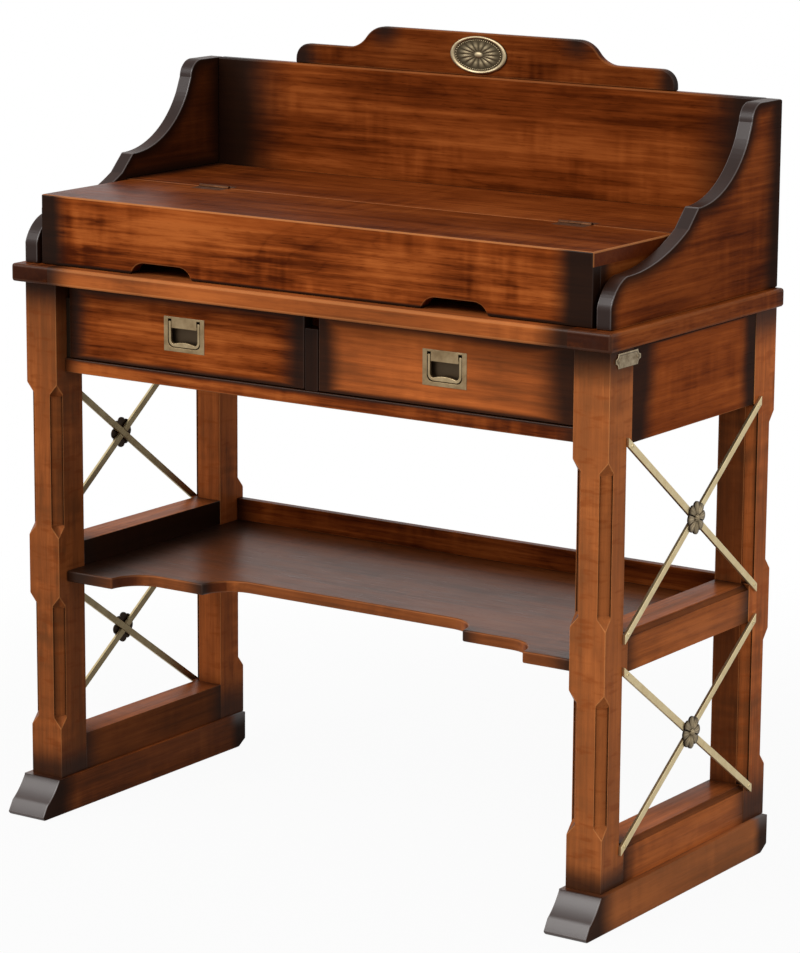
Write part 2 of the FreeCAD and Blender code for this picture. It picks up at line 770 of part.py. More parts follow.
def make_cup_plate(name, at):
    """A flanged cup with a recess around a lip, cross-drilled for the bail's pivots."""
    plate = new_body(f"{name}_pull_plate", at)
    half_width, half_height = plate_width / 2, plate_height / 2
    flange = draw_box(new_sketch(plate, "XZ", plate_thick / 2), -half_width, half_width, -half_height,
                      half_height)
    pad(plate, flange, plate_thick, True)
    cup = draw_box(new_sketch(plate, "XZ", cup_depth / 2), -cup_width / 2, cup_width / 2, -cup_height / 2,
                   cup_height / 2)
    pad(plate, cup, cup_depth, True)
    foot, head = recess_foot - half_height, half_height - recess_head
    right, lip = recess_width / 2, lip_width / 2
    lip_foot = half_height - lip_drop
    half = [
        (right - recess_corner, foot),
        Arc(right, foot + recess_corner, recess_corner, 1),
        (right, head),
        (lip, head),
        (lip, lip_foot),
    ]
    cut(plate, draw(new_sketch(plate, "XZ"), *mirrored(half)), cup_depth - recess_floor)
    drill = draw_circle(new_sketch(plate, "YZ"), bail_thick / 2, half_height - bail_pivot_drop,
                        pivot_radius + pivot_play)
    cut(plate, drill, cup_width / 2)


def make_bail(name, at):
    """A U-shaped bail with a swelled grip, hung on a pivot at the head of each leg."""
    bail = new_body(f"{name}_bail", at)
    outer = recess_width / 2 - bail_gap
    inner = outer - bail_leg
    foot = recess_foot - plate_height / 2 + bail_gap
    pivot = plate_height / 2 - bail_pivot_drop
    head = pivot + bail_head
    inner_corner = bail_corner - bail_leg
    grip = foot + bail_bar
    swell_half = inner - inner_corner
    swell_radius = (swell_half * swell_half + bail_swell * bail_swell) / (bail_swell * 2)
    outline = draw(
        new_sketch(bail, "XZ", bail_thick / 2),
        (outer - bail_corner, foot),
        Arc(outer, foot + bail_corner, bail_corner, 1),
        (outer, head),
        (inner, head),
        (inner, grip + inner_corner),
        Arc(swell_half, grip, inner_corner, -1),
        Arc(-swell_half, grip, swell_radius, 1),
        Arc(-inner, grip + inner_corner, inner_corner, -1),
        (-inner, head),
        (-outer, head),
        (-outer, foot + bail_corner),
        Arc(bail_corner - outer, foot, bail_corner, 1),
    )
    pad(bail, outline, bail_thick, True)
    for side in SIDES.values():
        stub = new_sketch(bail, "YZ", (outer - bail_leg / 2 + (bail_leg / 2 + pivot_length) / 2) * side)
        draw_circle(stub, bail_thick / 2, pivot, pivot_radius)
        pad(bail, stub, bail_leg / 2 + pivot_length, True)


def make_desk_top():
    """The centre board of the desk top, with a stopped tongue in a breadboard at each end."""
    joint = desk_width / 2 - breadboard_width
    tongue_low = (slab_thick - tongue_thick) / 2
    tongue_high = tongue_low + tongue_thick
    tongue_length = slab_depth - tongue_stop * 2
    middle = (slab_front + back_face) / 2
    top = new_body("desk_top", (0, middle, slab_base))
    pad(top, draw_box(new_sketch(top, "XZ"), -joint, joint, 0, slab_thick), slab_depth, True)
    reach = joint + tongue_reach
    tongue = draw_box(new_sketch(top, "XZ"), -reach, reach, tongue_low, tongue_high)
    pad(top, tongue, tongue_length, True)
    for name, side in SIDES.items():
        end = new_body(f"{name}_breadboard_end", (joint * side, middle, slab_base))
        section = draw_box(new_sketch(end, "XZ"), 0, breadboard_width * side, 0, slab_thick)
        pad(end, section, slab_depth, True)
        groove = draw_box(new_sketch(end, "XZ"), 0, tongue_reach * side, tongue_low, tongue_high)
        cut(end, groove, tongue_length / 2)


def make_gallery():
    """Scrolled sides, the back board between them, and the crest with its plaque."""
    for name, side in SIDES.items():
        panel = new_body(f"{name}_gallery_side",
                         ((gallery_inner + gallery_thick / 2) * side, back_face, desk_height))
        profile = draw(
            new_sketch(panel, "YZ"),
            (0, 0),
            (0, gallery_height),
            (-top_run, gallery_height),
            Arc(-shoulder_run, gallery_height - shoulder_drop, top_round, 1),
            (-upper_start_run, upper_start_rise),
            Arc(-upper_nick_run, upper_nick_rise, upper_scoop, -1),
            (-lower_start_run, lower_start_rise),
            Arc(-lower_nick_run, lower_nick_rise, lower_scoop, -1),
            Arc(-gallery_reach, nose_rise, nose_round, 1),
            (-gallery_reach, 0),
        )
        pad(panel, profile, gallery_thick, True)
        housing = draw_box(new_sketch(panel, "YZ", -gallery_thick / 2 * side), -gallery_back_thick,
                           seam + seam_gap / 2 - back_face, hood_height - lid_thick, hood_height)
        cut(panel, housing, cover_housing)
    board("gallery_back", gallery_inner * 2, gallery_back_thick, gallery_height,
          (-gallery_inner, gallery_back_front, desk_height))
    make_crest()


def make_crest():
    """The crest: round-cornered ends and an ogee up to a flat top, with an oval plaque on it."""
    crest = new_body("crest", (0, back_face - crest_thick / 2, gallery_top))
    rise = crest_height - crest_end_height
    ogee_radius = (ogee_run * ogee_run + rise * rise) / (rise * 4)
    end = gallery_inner - crest_inset
    flat = end - crest_end_run - ogee_run
    half = [
        (end, 0),
        (end, crest_end_height - crest_end_round),
        Arc(end - crest_end_round, crest_end_height, crest_end_round, 1),
        (flat + ogee_run, crest_end_height),
        Arc(flat + ogee_run / 2, crest_end_height + rise / 2, ogee_radius, -1),
        Arc(flat, crest_height, ogee_radius, 1),
    ]
    pad(crest, draw(new_sketch(crest, "XZ"), *mirrored(half)), crest_thick, True)
    plaque_centre = gallery_top + crest_height / 2
    plaque = new_body("crest_plaque", (0, back_face - crest_thick - plaque_thick / 2, plaque_centre))
    pad(plaque, draw_oval(new_sketch(plaque, "XZ"), plaque_length / 2, plaque_height / 2, plaque_end),
        plaque_thick, True)
    field = draw_oval(new_sketch(plaque, "XZ", -plaque_thick / 2), plaque_length / 2 - plaque_rim,
                      plaque_height / 2 - plaque_rim, plaque_end - plaque_rim)
    cut(plaque, field, plaque_sink)


def draw_oval(sketch, half_length, half_height, end_radius):
    """Draw an oval of two end arcs and two side arcs that meet smoothly."""
    reach = half_length - end_radius
    spare = half_height - end_radius
    drop = (reach * reach - spare * spare) / (spare * 2)
    u = reach + end_radius * reach / (drop + spare)
    v = end_radius * drop / (drop + spare)
    side_radius = drop + half_height
    return draw(sketch, Arc(u, -v, side_radius, 1), Arc(u, v, end_radius, 1), Arc(-u, v, side_radius, 1),
                Arc(-u, -v, end_radius, 1))


def hinge_seats(body):
    """Let both hinges into a board whose origin is on the hinge line, at its top face."""
    for side in SIDES.values():
        half = hinge_length / 2
        middle = hinge_offset * side
        leaf = draw_box(new_sketch(body, "XY"), middle - half, middle + half, -hinge_leaf, hinge_leaf)
        cut(body, leaf, leaf_thick)
        groove = draw_circle(new_sketch(body, "YZ", middle), 0, knuckle_lift, knuckle_radius + knuckle_room)
        cut(body, groove, half + knuckle_room)


def make_hood():
    """The hood: lid, notched front and cheeks in one piece, and the fixed cover behind its hinges."""
    edge = seam_gap / 2
    lid = new_body("hood_lid", (0, seam, hood_top))
    pad(lid, draw_box(new_sketch(lid, "XY", -lid_thick), -hood_half, hood_half, -edge - hood_depth, -edge),
        lid_thick)
    hinge_seats(lid)
    make_hood_front()
    cheek_front = hood_front_face + hood_front_thick
    cheek_length = hood_depth - hood_front_thick
    for name, side in SIDES.items():
        low = hood_half - cheek_thick if side > 0 else -hood_half
        board(f"hood_{name}_cheek", cheek_thick, cheek_length, lid_base - hood_base,
              (low, cheek_front, hood_base))
    cover = new_body("rear_cover", (0, seam, hood_top))
    reach = gallery_inner + cover_housing
    plan = draw_box(new_sketch(cover, "XY", -lid_thick), -reach, reach, edge, gallery_back_front - seam)
    pad(cover, plan, lid_thick)
    hinge_seats(cover)


def make_hood_front():
    """The hood's front board, with two flat-topped finger notches along its foot."""
    front = new_body("hood_front", (0, hood_front_face + hood_front_thick / 2, hood_base))
    height = lid_base - hood_base
    pad(front, draw_box(new_sketch(front, "XZ"), -hood_half, hood_half, 0, height), hood_front_thick, True)
    end_run = (notch_width - notch_flat) / 2
    radius = (end_run * end_run + notch_height * notch_height) / (notch_height * 2)
    sketch = new_sketch(front, "XZ")
    for side in SIDES.values():
        middle = (hood_half - notch_inset) * side
        draw(
            sketch,
            Arc(middle - notch_width / 2, 0, radius, 1),
            (middle + notch_width / 2, 0),
            Arc(middle + notch_flat / 2, notch_height, radius, 1),
            (middle - notch_flat / 2, notch_height),
        )
    cut(front, sketch, hood_front_thick)


def make_hinges():
    """Two flush butt hinges: a fixed leaf with outer knuckles, a lid leaf with the middle one, a pin."""
    fixed, swinging, pins = [], [], []
    for name, side in SIDES.items():
        at = (hinge_offset * side, seam, hood_top)
        fixed.append(make_leaf(f"{name}_fixed_leaf", at, 1))
        swinging.append(make_leaf(f"{name}_lid_leaf", at, -1))
        pin = new_body(f"{name}_hinge_pin", at, is_node=False)
        pad(pin, draw_circle(new_sketch(pin, "YZ"), 0, knuckle_lift, pin_radius), hinge_length, True)
        pins.append(pin)
    group("hinge_fixed_leaves", fixed)
    group("hinge_lid_leaves", swinging)
    group("hinge_pins", pins)


def make_leaf(label, at, sense):
    """One leaf of a hinge, on the lid (-1) or on the cover (1), with its share of the knuckles."""
    leaf = new_body(label, at, is_node=False)
    half = hinge_length / 2
    plate = draw_box(new_sketch(leaf, "XY", -leaf_thick), -half, half, 0, hinge_leaf * sense)
    pad(leaf, plate, leaf_thick)
    pad(leaf, draw_circle(new_sketch(leaf, "YZ"), 0, knuckle_lift, knuckle_radius), hinge_length, True)
    cut(leaf, draw_circle(new_sketch(leaf, "YZ"), 0, knuckle_lift, pin_radius + pin_play), half)
    room = knuckle_radius + knuckle_room
    sketch = new_sketch(leaf, "XZ")
    low, high = -leaf_thick - room, knuckle_lift + room
    lid_half = lid_knuckle / 2
    if sense > 0:
        draw_box(sketch, -lid_half - knuckle_gap, lid_half + knuckle_gap, low, high)
    else:
        draw_box(sketch, lid_half, half + knuckle_gap, low, high)
        draw_box(sketch, -half - knuckle_gap, -lid_half, low, high)
    cut(leaf, sketch, room)
    return leaf


def make_braces():
    """Crossed flat bars on the outer faces of the posts, halved together, with a rosette on each pair."""
    bays = (("upper", mid_rail_top - brace_end_drop, case_base + brace_end_rise),
            ("lower", lower_rail_top - brace_end_drop, mid_rail_base + brace_end_rise))
    reach = bay_length / 2 + brace_lap
    for name, side in SIDES.items():
        rosettes = []
        for level, low, high in bays:
            middle = (low + high) / 2
            rise = (high - low) / 2
            at = ((post_outer + brace_thick / 2) * side, bay_middle, middle)
            bars = []
            for lean in (-1, 1):
                bar = new_body(f"{name}_{level}_bar", at, is_node=False)
                pad(bar, draw_bar(new_sketch(bar, "YZ"), reach, rise * lean), brace_thick, True)
                halving = new_sketch(bar, "YZ", brace_thick / 2 * lean)
                cut(bar, draw_bar(halving, reach, rise * -lean), brace_thick / 2)
                bars.append(bar)
            group(f"{name}_{level}_braces", bars)
            seat = (post_outer + brace_thick) * side
            rosettes.append(make_rosette(f"{name}_{level}_rosette", (seat, bay_middle, middle), side))
        group(f"{name}_rosettes", rosettes)


def draw_bar(sketch, reach, rise):
    """Draw a leaning bar with upright ends."""
    half = brace_drop / 2
    return draw(sketch, (-reach, -rise - half), (reach, rise - half), (reach, rise + half),
                (-reach, half - rise))


def make_rosette(label, at, side):
    """An eight-petalled rosette that faces out from the desk."""
    rosette = new_body(label, at, ((0, 1, 0), 90 * side), is_node=False)
    pad(rosette, draw_circle(new_sketch(rosette, "XY"), 0, 0, rosette_core), rosette_core_height)
    tip_start = rosette_radius - petal_tip
    tip_radius = (petal_half_width * petal_half_width + petal_tip * petal_tip) / (petal_tip * 2)
    outline = draw(
        new_sketch(rosette, "XY"),
        (petal_root, -root_half_width),
        (tip_start, -petal_half_width),
        Arc(tip_start, petal_half_width, tip_radius, 1),
        (petal_root, root_half_width),
    )
    petal = pad(rosette, outline, petal_height)
    ring = rosette.newObject("PartDesign::PolarPattern", f"{label}_petals")
    ring.Originals = [petal]
    axis = [f for f in rosette.Origin.OriginFeatures if f.Role == "Z_Axis"][0]
    ring.Axis = (axis, [""])
    ring.Angle = 360
    bind(ring, "Occurrences", petal_count)
    rosette.Tip = ring
    pad(rosette, draw_circle(new_sketch(rosette, "XY"), 0, 0, boss_radius), boss_height)
    return rosette


def make_leg_plate():
    """A bare plate with scalloped corners, high on the outer face of the right front post."""
    middle_y = post_front + leg_plate_set + leg_plate_length / 2
    middle_z = slab_base - leg_plate_drop - leg_plate_height / 2
    plate = new_body("right_leg_plate", (post_outer + leg_plate_thick / 2, middle_y, middle_z))
    half_length, half_height = leg_plate_length / 2, leg_plate_height / 2
    near_u, near_v = half_length - leg_plate_scallop, half_height - leg_plate_scallop
    outline = draw(
        new_sketch(plate, "YZ"),
        Arc(-near_u, -half_height, leg_plate_scallop, -1), (near_u, -half_height),
        Arc(half_length, -near_v, leg_plate_scallop, -1), (half_length, near_v),
        Arc(near_u, half_height, leg_plate_scallop, -1), (-near_u, half_height),
        Arc(-half_length, near_v, leg_plate_scallop, -1), (-half_length, -near_v),
    )
    pad(plate, outline, leg_plate_thick, True)


def check_document():
    """Stop if any object failed or any node is not a valid solid."""
    failed = [item.Label for item in doc.Objects if {"Invalid", "Error"} & set(item.State)]
    failed += [node.Label for node in nodes if node.Shape.isNull() or not node.Shape.isValid()]
    failed += [node.Label for node in nodes if not node.Shape.Solids]
    if failed:
        raise RuntimeError(f"failed objects: {failed}")


make_feet()
make_posts()
make_side_rails()
make_shelf()
make_case()
make_drawers()
make_pulls()
make_desk_top()
make_gallery()
make_hood()
make_hinges()
make_braces()
make_leg_plate()
doc.recompute()
check_document()
os.makedirs("parts", exist_ok=True)
for node in nodes:
    node.Shape.exportStep(f"parts/{node.Label}.step")
print(f"{len(nodes)} nodes written")
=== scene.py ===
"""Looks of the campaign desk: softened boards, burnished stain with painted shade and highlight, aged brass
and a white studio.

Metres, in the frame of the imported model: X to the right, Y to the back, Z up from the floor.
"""
import enum
import json
import logging
import math
import random
from contextlib import contextmanager
from dataclasses import dataclass, field
from functools import cached_property
from typing import Any, Callable, Iterator, Sequence

import bmesh
import bpy
from mathutils import Matrix, Vector


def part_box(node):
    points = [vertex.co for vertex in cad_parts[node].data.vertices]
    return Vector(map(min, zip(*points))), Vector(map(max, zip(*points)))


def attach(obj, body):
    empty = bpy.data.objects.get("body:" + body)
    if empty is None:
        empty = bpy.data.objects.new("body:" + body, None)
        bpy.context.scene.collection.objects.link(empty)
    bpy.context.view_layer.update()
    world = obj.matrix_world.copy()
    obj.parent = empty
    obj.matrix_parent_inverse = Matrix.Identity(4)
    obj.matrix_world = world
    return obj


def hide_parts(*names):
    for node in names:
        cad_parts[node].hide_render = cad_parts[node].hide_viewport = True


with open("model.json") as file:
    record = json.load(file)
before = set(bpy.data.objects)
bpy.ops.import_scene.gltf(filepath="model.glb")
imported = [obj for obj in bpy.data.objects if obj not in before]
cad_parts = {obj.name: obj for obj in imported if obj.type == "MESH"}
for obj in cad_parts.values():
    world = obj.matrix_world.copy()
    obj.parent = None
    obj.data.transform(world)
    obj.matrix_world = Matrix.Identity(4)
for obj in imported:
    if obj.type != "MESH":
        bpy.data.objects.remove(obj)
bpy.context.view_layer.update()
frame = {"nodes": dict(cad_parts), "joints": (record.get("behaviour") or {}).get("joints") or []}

SIDES = {"left": -1, "right": 1}
LOG = logging.getLogger("campaign_desk")
SAME = 1e-5
TINY = 1e-12
NOISE_MIDDLE = 0.5
UP = Vector((0.0, 0.0, 1.0))

Pair = tuple[float, float]
Triple = tuple[float, float, float]
Socket = bpy.types.NodeSocket
Sockets = bpy.types.NodeOutputs
Material = bpy.types.Material
Mesh = bpy.types.Mesh
Edge = bmesh.types.BMEdge
Stretch = tuple[Vector, Vector]
ScrewSpot = tuple[Vector, Vector]


class Grain(enum.Enum):
    """The axis that a board's grain follows, with the order its coordinates are read in."""

    ACROSS = (0, 1, 2)
    DEEP = (1, 0, 2)
    UPRIGHT = (2, 0, 1)


class Plane(enum.Enum):
    """The plane of a plate with a curved outline: its two axes and the one it faces."""

    SIDE = (1, 2, 0)
    LEVEL = (0, 1, 2)


def rgba(colour: Triple) -> tuple[float, float, float, float]:
    """Give a colour an alpha of 1."""
    return (*colour, 1.0)


def scaled(colour: Triple, factor: float) -> Triple:
    """Lighten or darken a colour by a factor."""
    return (colour[0] * factor, colour[1] * factor, colour[2] * factor)


@dataclass(frozen=True)
class Waves:
    """A noise: waves per metre along and across the grain, finer layers and their strength."""

    along: float
    across: float
    detail: float = 2.0
    rough: float = 0.5


class Graph:
    """Builds a node tree: adds nodes, sets their sockets and links what is given as a socket."""

    def __init__(self, tree: bpy.types.NodeTree) -> None:
        """Take hold of the tree to build in."""
        self.tree = tree

    def feed(self, node: bpy.types.Node, inputs: dict[Any, Any]) -> None:
        """Set or link the inputs of a node.

        Args:
            node: The node.
            inputs: Socket names or numbers, each with a value or a socket to link.
        """
        for name, value in inputs.items():
            if isinstance(value, Socket):
                self.tree.links.new(value, node.inputs[name])
            else:
                node.inputs[name].default_value = value

    def add(self, kind: str, inputs: dict[Any, Any] | None = None, **settings: Any) -> bpy.types.Node:
        """Add a node.

        Args:
            kind: The node's type name.
            inputs: What its inputs are fed.
            settings: Properties of the node itself.

        Returns:
            The new node.
        """
        node = self.tree.nodes.new(kind)
        for name, value in settings.items():
            setattr(node, name, value)
        self.feed(node, inputs or {})
        return node

    def get(self, kind: str, inputs: dict[Any, Any] | None = None, **settings: Any) -> Socket:
        """Add a node and give its first output."""
        return self.add(kind, inputs, **settings).outputs[0]

    def attribute(self, name: str) -> Socket:
        """Read a value that the mesh carries."""
        return self.add("ShaderNodeAttribute", attribute_name=name).outputs["Fac"]

    def maths(self, operation: str, *values: float | Socket, clamp: bool = False) -> Socket:
        """Add a Math node with its inputs in order, held between 0 and 1 by clamp."""
        return self.get("ShaderNodeMath", dict(enumerate(values)), operation=operation, use_clamp=clamp)

    def largest(self, values: Sequence[Socket]) -> Socket:
        """Give the largest of some values.

        Args:
            values: The values, one or more.

        Returns:
            The largest.
        """
        result = values[0]
        for value in values[1:]:
            result = self.maths("MAXIMUM", result, value)
        return result

    def blend(self, factor: float | Socket, first: Any, second: Any, mode: str = "MIX") -> Socket:
        """Mix two colours.

        Args:
            factor: How much of the second is taken.
            first: The colour at 0.
            second: The colour at 1.
            mode: The way of mixing.

        Returns:
            The mixed colour.
        """
        node = self.add("ShaderNodeMix", data_type="RGBA", blend_type=mode)
        for name, value in (("Factor_Float", factor), ("A_Color", first), ("B_Color", second)):
            socket = next(item for item in node.inputs if item.identifier == name)
            if isinstance(value, Socket):
                self.tree.links.new(value, socket)
            else:
                socket.default_value = value if name == "Factor_Float" else rgba(value)
        return next(item for item in node.outputs if item.identifier == "Result_Color")

    def spread(self, value: Socket, source: Pair, start: float = 0.0, end: float = 1.0) -> Socket:
        """Carry a value from one range to another, smoothly and clamped.

        Args:
            value: What is read.
            source: Where the range that is read begins and ends.
            start: What its beginning becomes.
            end: What its end becomes.

        Returns:
            The new value.
        """
        inputs = {0: value, 1: source[0], 2: source[1], 3: start, 4: end}
        return self.get("ShaderNodeMapRange", inputs, interpolation_type="SMOOTHSTEP")

    def noise(self, vector: Socket, waves: Waves) -> Socket:
        """Read a noise.

        Args:
            vector: Where it is read, with the grain as its first axis.
            waves: The noise.

        Returns:
            The noise, from 0 to 1.
        """
        stretch = (waves.along, waves.across, waves.across)
        spot = self.get("ShaderNodeVectorMath", {0: vector, 1: stretch}, operation="MULTIPLY")
        inputs = {"Vector": spot, "Scale": 1.0, "Detail": waves.detail, "Roughness": waves.rough}
        return self.add("ShaderNodeTexNoise", inputs).outputs["Fac"]

    def ramp(self, value: Socket, stops: Sequence[tuple[float, Triple]]) -> Socket:
        """Turn a value into a colour.

        Args:
            value: What is read.
            stops: Places from 0 to 1, each with its colour.

        Returns:
            The colour.
        """
        node = self.add("ShaderNodeValToRGB", {"Fac": value})
        elements = node.color_ramp.elements
        while len(elements) < len(stops):
            elements.new(0.5)
        for element, (place, colour) in zip(elements, stops):
            element.position = place
            element.color = rgba(colour)
        return node.outputs["Color"]


class Surface(Graph):
    """A material in the making, with where its surface lies and the way it faces."""

    def __init__(self, name: str) -> None:
        """Start a material.

        Args:
            name: Its name.
        """
        self.material = bpy.data.materials.new(name)
        self.material.use_nodes = True
        super().__init__(self.material.node_tree)
        self.coordinates = self.add("ShaderNodeTexCoord").outputs
        self.place = self.coordinates["Object"]
        self.parts = self.add("ShaderNodeSeparateXYZ", {0: self.place}).outputs

    @cached_property
    def normal(self) -> Sockets:
        """Give the three parts of the way the surface faces."""
        return self.add("ShaderNodeSeparateXYZ", {0: self.coordinates["Normal"]}).outputs

    def along(self, grain: Grain) -> Socket:
        """Give the place with the axis of a grain first."""
        return self.get("ShaderNodeCombineXYZ", {i: self.parts[axis] for i, axis in enumerate(grain.value)})

    def inward(self) -> Socket:
        """Tell the faces that look out from the middle of the desk, above 0, from those that look in."""
        return self.maths("MULTIPLY", self.parts[0], self.normal[0])

    def openness(self, reach: float, samples: int = 16) -> Socket:
        """Tell how open the surface lies, from 0 in a deep hollow to 1."""
        node = self.add("ShaderNodeAmbientOcclusion", {"Distance": reach}, only_local=True, samples=samples)
        return node.outputs["AO"]

    def close(self, inputs: dict[str, Any]) -> Material:
        """Feed the surface shader and give the finished material."""
        self.feed(self.tree.nodes["Principled BSDF"], inputs)
        return self.material


@dataclass(frozen=True)
class Burn:
    """How far the burnished dark runs in from each end of a board."""

    left: float = 0.0
    right: float = 0.0
    front: float = 0.0
    back: float = 0.0
    foot: float = 0.0
    head: float = 0.0

    def ends(self) -> list[tuple[int, int, float]]:
        """List the burnished ends, as axis, side (-1 low, 1 high) and reach."""
        reaches = (self.left, self.right, self.front, self.back, self.foot, self.head)
        return [(index // 2, index % 2 * 2 - 1, reach) for index, reach in enumerate(reaches) if reach > 0]


@dataclass(frozen=True)
class Board:
    """One board: the node it stands for, how it is softened, stained and polished, and where shade and a
    highlight are painted on it.
    """

    node: str
    grain: Grain
    burn: Burn
    edge: float = 0.0015
    tone: float = 1.0
    outline: Plane | None = None
    gloss: float = 0.035
    polish: float = 0.05
    contrast: float = 1.0
    curl: float = 0.22
    blots: float = 0.02
    core: float = 0.20
    cover: float = 0.94
    fade: float = 0.0
    # How far the faces that look up are darkened: painted shade.
    top_tone: float = 1.0
    # How much the rounded edges take the lighter edge colour: wear and a painted highlight.
    wear: float = 0.30
    # Painted shade on faces that look into the desk, on faces that look to the front, and on slanted faces.
    inner_dark: float = 0.0
    front_dark: float = 0.0
    mitre_dark: float = 0.0
    flecks: float = 0.0
    # Whether hollows and creases are darkened: gathered stain and painted shade.
    hollows: bool = False
    outward: bool = False
    edge_polish: bool = False
    crown: float = 0.0
    burnt_spots: tuple[Pair, ...] = ()
    burnt_face: int | None = None
    # Whether only the corners of the outline are darkened: painted shade in the shelf's coves.
    corners: bool = False
    log: str = ""
    meets: tuple[tuple[int, int], ...] = ()


@dataclass(frozen=True)
class WoodFinish:
    """A satin stain over straight, streaky grain, rubbed dark at the ends of each board, with painted shade
    on some faces and a painted highlight on the rounded edges.
    """

    slot: str = "stained_wood"
    shade: Triple = (0.062, 0.0095, 0.0014)
    body: Triple = (0.185, 0.036, 0.0055)
    warm: Triple = (0.285, 0.062, 0.0105)
    streak: Triple = (0.440, 0.112, 0.022)
    faded: Triple = (0.330, 0.120, 0.040)
    end_grain: Triple = (0.075, 0.0130, 0.0030)
    # The colour of the rounded edges: wear, and a painted highlight along them.
    arris: Triple = (0.560, 0.215, 0.070)
    # The dark of the rubbed ends, also used for painted shade.
    char: Triple = (0.0130, 0.0056, 0.0032)
    sheen: Pair = (0.26, 0.40)
    sheen_tint: Triple = (1.0, 0.78, 0.60)
    arris_polish: float = 2.0
    coat_rough: float = 0.34
    coat_ior: float = 1.85
    coat_tint: Triple = (1.0, 0.80, 0.68)
    bump_strength: float = 0.12
    bump_height: float = 0.0004
    log_reach: float = 20.0
    figure: Waves = Waves(1.3, 11.0)
    figure_rings: float = 7.0
    ring_edge: float = 5.0
    ring_weight: float = -0.03
    streaks: Waves = Waves(3.0, 135.0, 4.0, 0.6)
    streak_weight: float = 0.34
    bands: Waves = Waves(1.0, 30.0)
    band_weight: float = 0.24
    fibres: Waves = Waves(16.0, 430.0, 3.0, 0.6)
    fibre_weight: float = 0.13
    clouds: Waves = Waves(4.5, 14.0, 3.0)
    cloud_weight: float = 0.40
    mottle: Waves = Waves(16.0, 48.0, 2.0, 0.6)
    mottle_weight: float = 0.14
    pores: Waves = Waves(55.0, 700.0, 1.0)
    pore_range: Pair = (0.60, 0.72)
    pore_weight: float = -0.04
    ripples: Waves = Waves(60.0, 9.0, 1.5)
    patches: Waves = Waves(7.0, 12.0)
    patch_range: Pair = (0.44, 0.66)
    blots: Waves = Waves(14.0, 60.0, 2.5, 0.6)
    blot_range: Pair = (0.50, 0.70)
    flecks: Waves = Waves(95.0, 24.0, 2.0, 0.6)
    fleck_range: Pair = (0.52, 0.68)
    drift: Waves = Waves(3.0, 6.0, 3.0)
    drift_share: float = 0.6
    level_middle: float = 0.615
    level_reach: float = 0.160
    stops: tuple[float, ...] = (0.0, 0.36, 0.66, 1.0)
    end_range: Pair = (0.4, 0.75)
    end_share: float = 0.85
    top_range: Pair = (0.6, 0.9)
    inner_range: Pair = (-0.35, -0.10)
    front_range: Pair = (-0.97, -0.85)
    mitre_rise: Pair = (0.35, 0.60)
    mitre_fall: Pair = (0.80, 0.95)
    broad_range: Pair = (0.5, 0.9)
    rough_range: Pair = (0.25, 0.75)
    # How hollows are darkened: gathered stain and painted shade.
    hollow_reach: float = 0.008
    hollow_range: Pair = (0.60, 0.985)
    hollow_share: float = 0.92
    hollow_samples: int = 8
    edge_strips: int = 3
    rim_cell: float = 0.008
    rim_reach: float = 0.025
    corner_reach: float = 0.034
    spot_reach: float = 0.042

    def material(self, board: Board) -> Material:
        """Make the stain of one board, with a grain of its own.

        Args:
            board: The board.

        Returns:
            Its material.
        """
        skin = Surface(f"{board.node}_stain")
        chance = random.Random(board.log or board.node)
        shift = tuple(chance.uniform(-self.log_reach, self.log_reach) for _ in range(3))
        log = skin.get("ShaderNodeVectorMath", {0: skin.along(board.grain), 1: shift}, operation="ADD")
        fibre = skin.noise(log, self.fibres)
        worn = skin.attribute("arris")
        colour = self.face_colour(skin, log, self.grain_colour(skin, log, fibre, board), board)
        # The rounded edges are lightened: partly wear, partly a painted highlight along the arrises.
        worn_share = skin.maths("MULTIPLY", worn, board.wear)
        colour = skin.blend(worn_share, colour, scaled(self.arris, board.tone))
        # Painted shade on inner, front and slanted faces.
        for share in self.shades(skin, board):
            colour = skin.blend(share, colour, self.char)
        inputs = {}
        mask = self.burn_mask(skin, log, board)
        if mask is not None:
            colour = skin.blend(skin.maths("MULTIPLY", mask, board.cover), colour, self.char)
            shine = skin.maths("MULTIPLY_ADD", worn, board.polish * self.arris_polish, board.polish)
            coat = skin.maths("MULTIPLY", mask, shine, clamp=True)
            if board.edge_polish:
                broad = skin.maths("ABSOLUTE", skin.normal[0])
                coat = skin.maths("MULTIPLY", coat, skin.spread(broad, self.broad_range, 1.0, 0.0))
            inputs = {"Coat Weight": coat, "Coat Roughness": self.coat_rough, "Coat IOR": self.coat_ior,
                      "Coat Tint": rgba(self.coat_tint)}
        # Darker in hollows and creases: partly dark stain gathered there, partly painted shade.
        if board.hollows:
            sky = skin.openness(self.hollow_reach, self.hollow_samples)
            share = skin.spread(sky, self.hollow_range, self.hollow_share, 0.0)
            colour = skin.blend(share, colour, self.char)
        bump = {"Strength": self.bump_strength, "Distance": self.bump_height, "Height": fibre}
        return skin.close(inputs | {
            "Base Color": colour,
            "Roughness": skin.spread(fibre, self.rough_range, *self.sheen),
            "Specular IOR Level": board.gloss,
            "Specular Tint": rgba(self.sheen_tint),
            "Normal": skin.get("ShaderNodeBump", bump),
        })

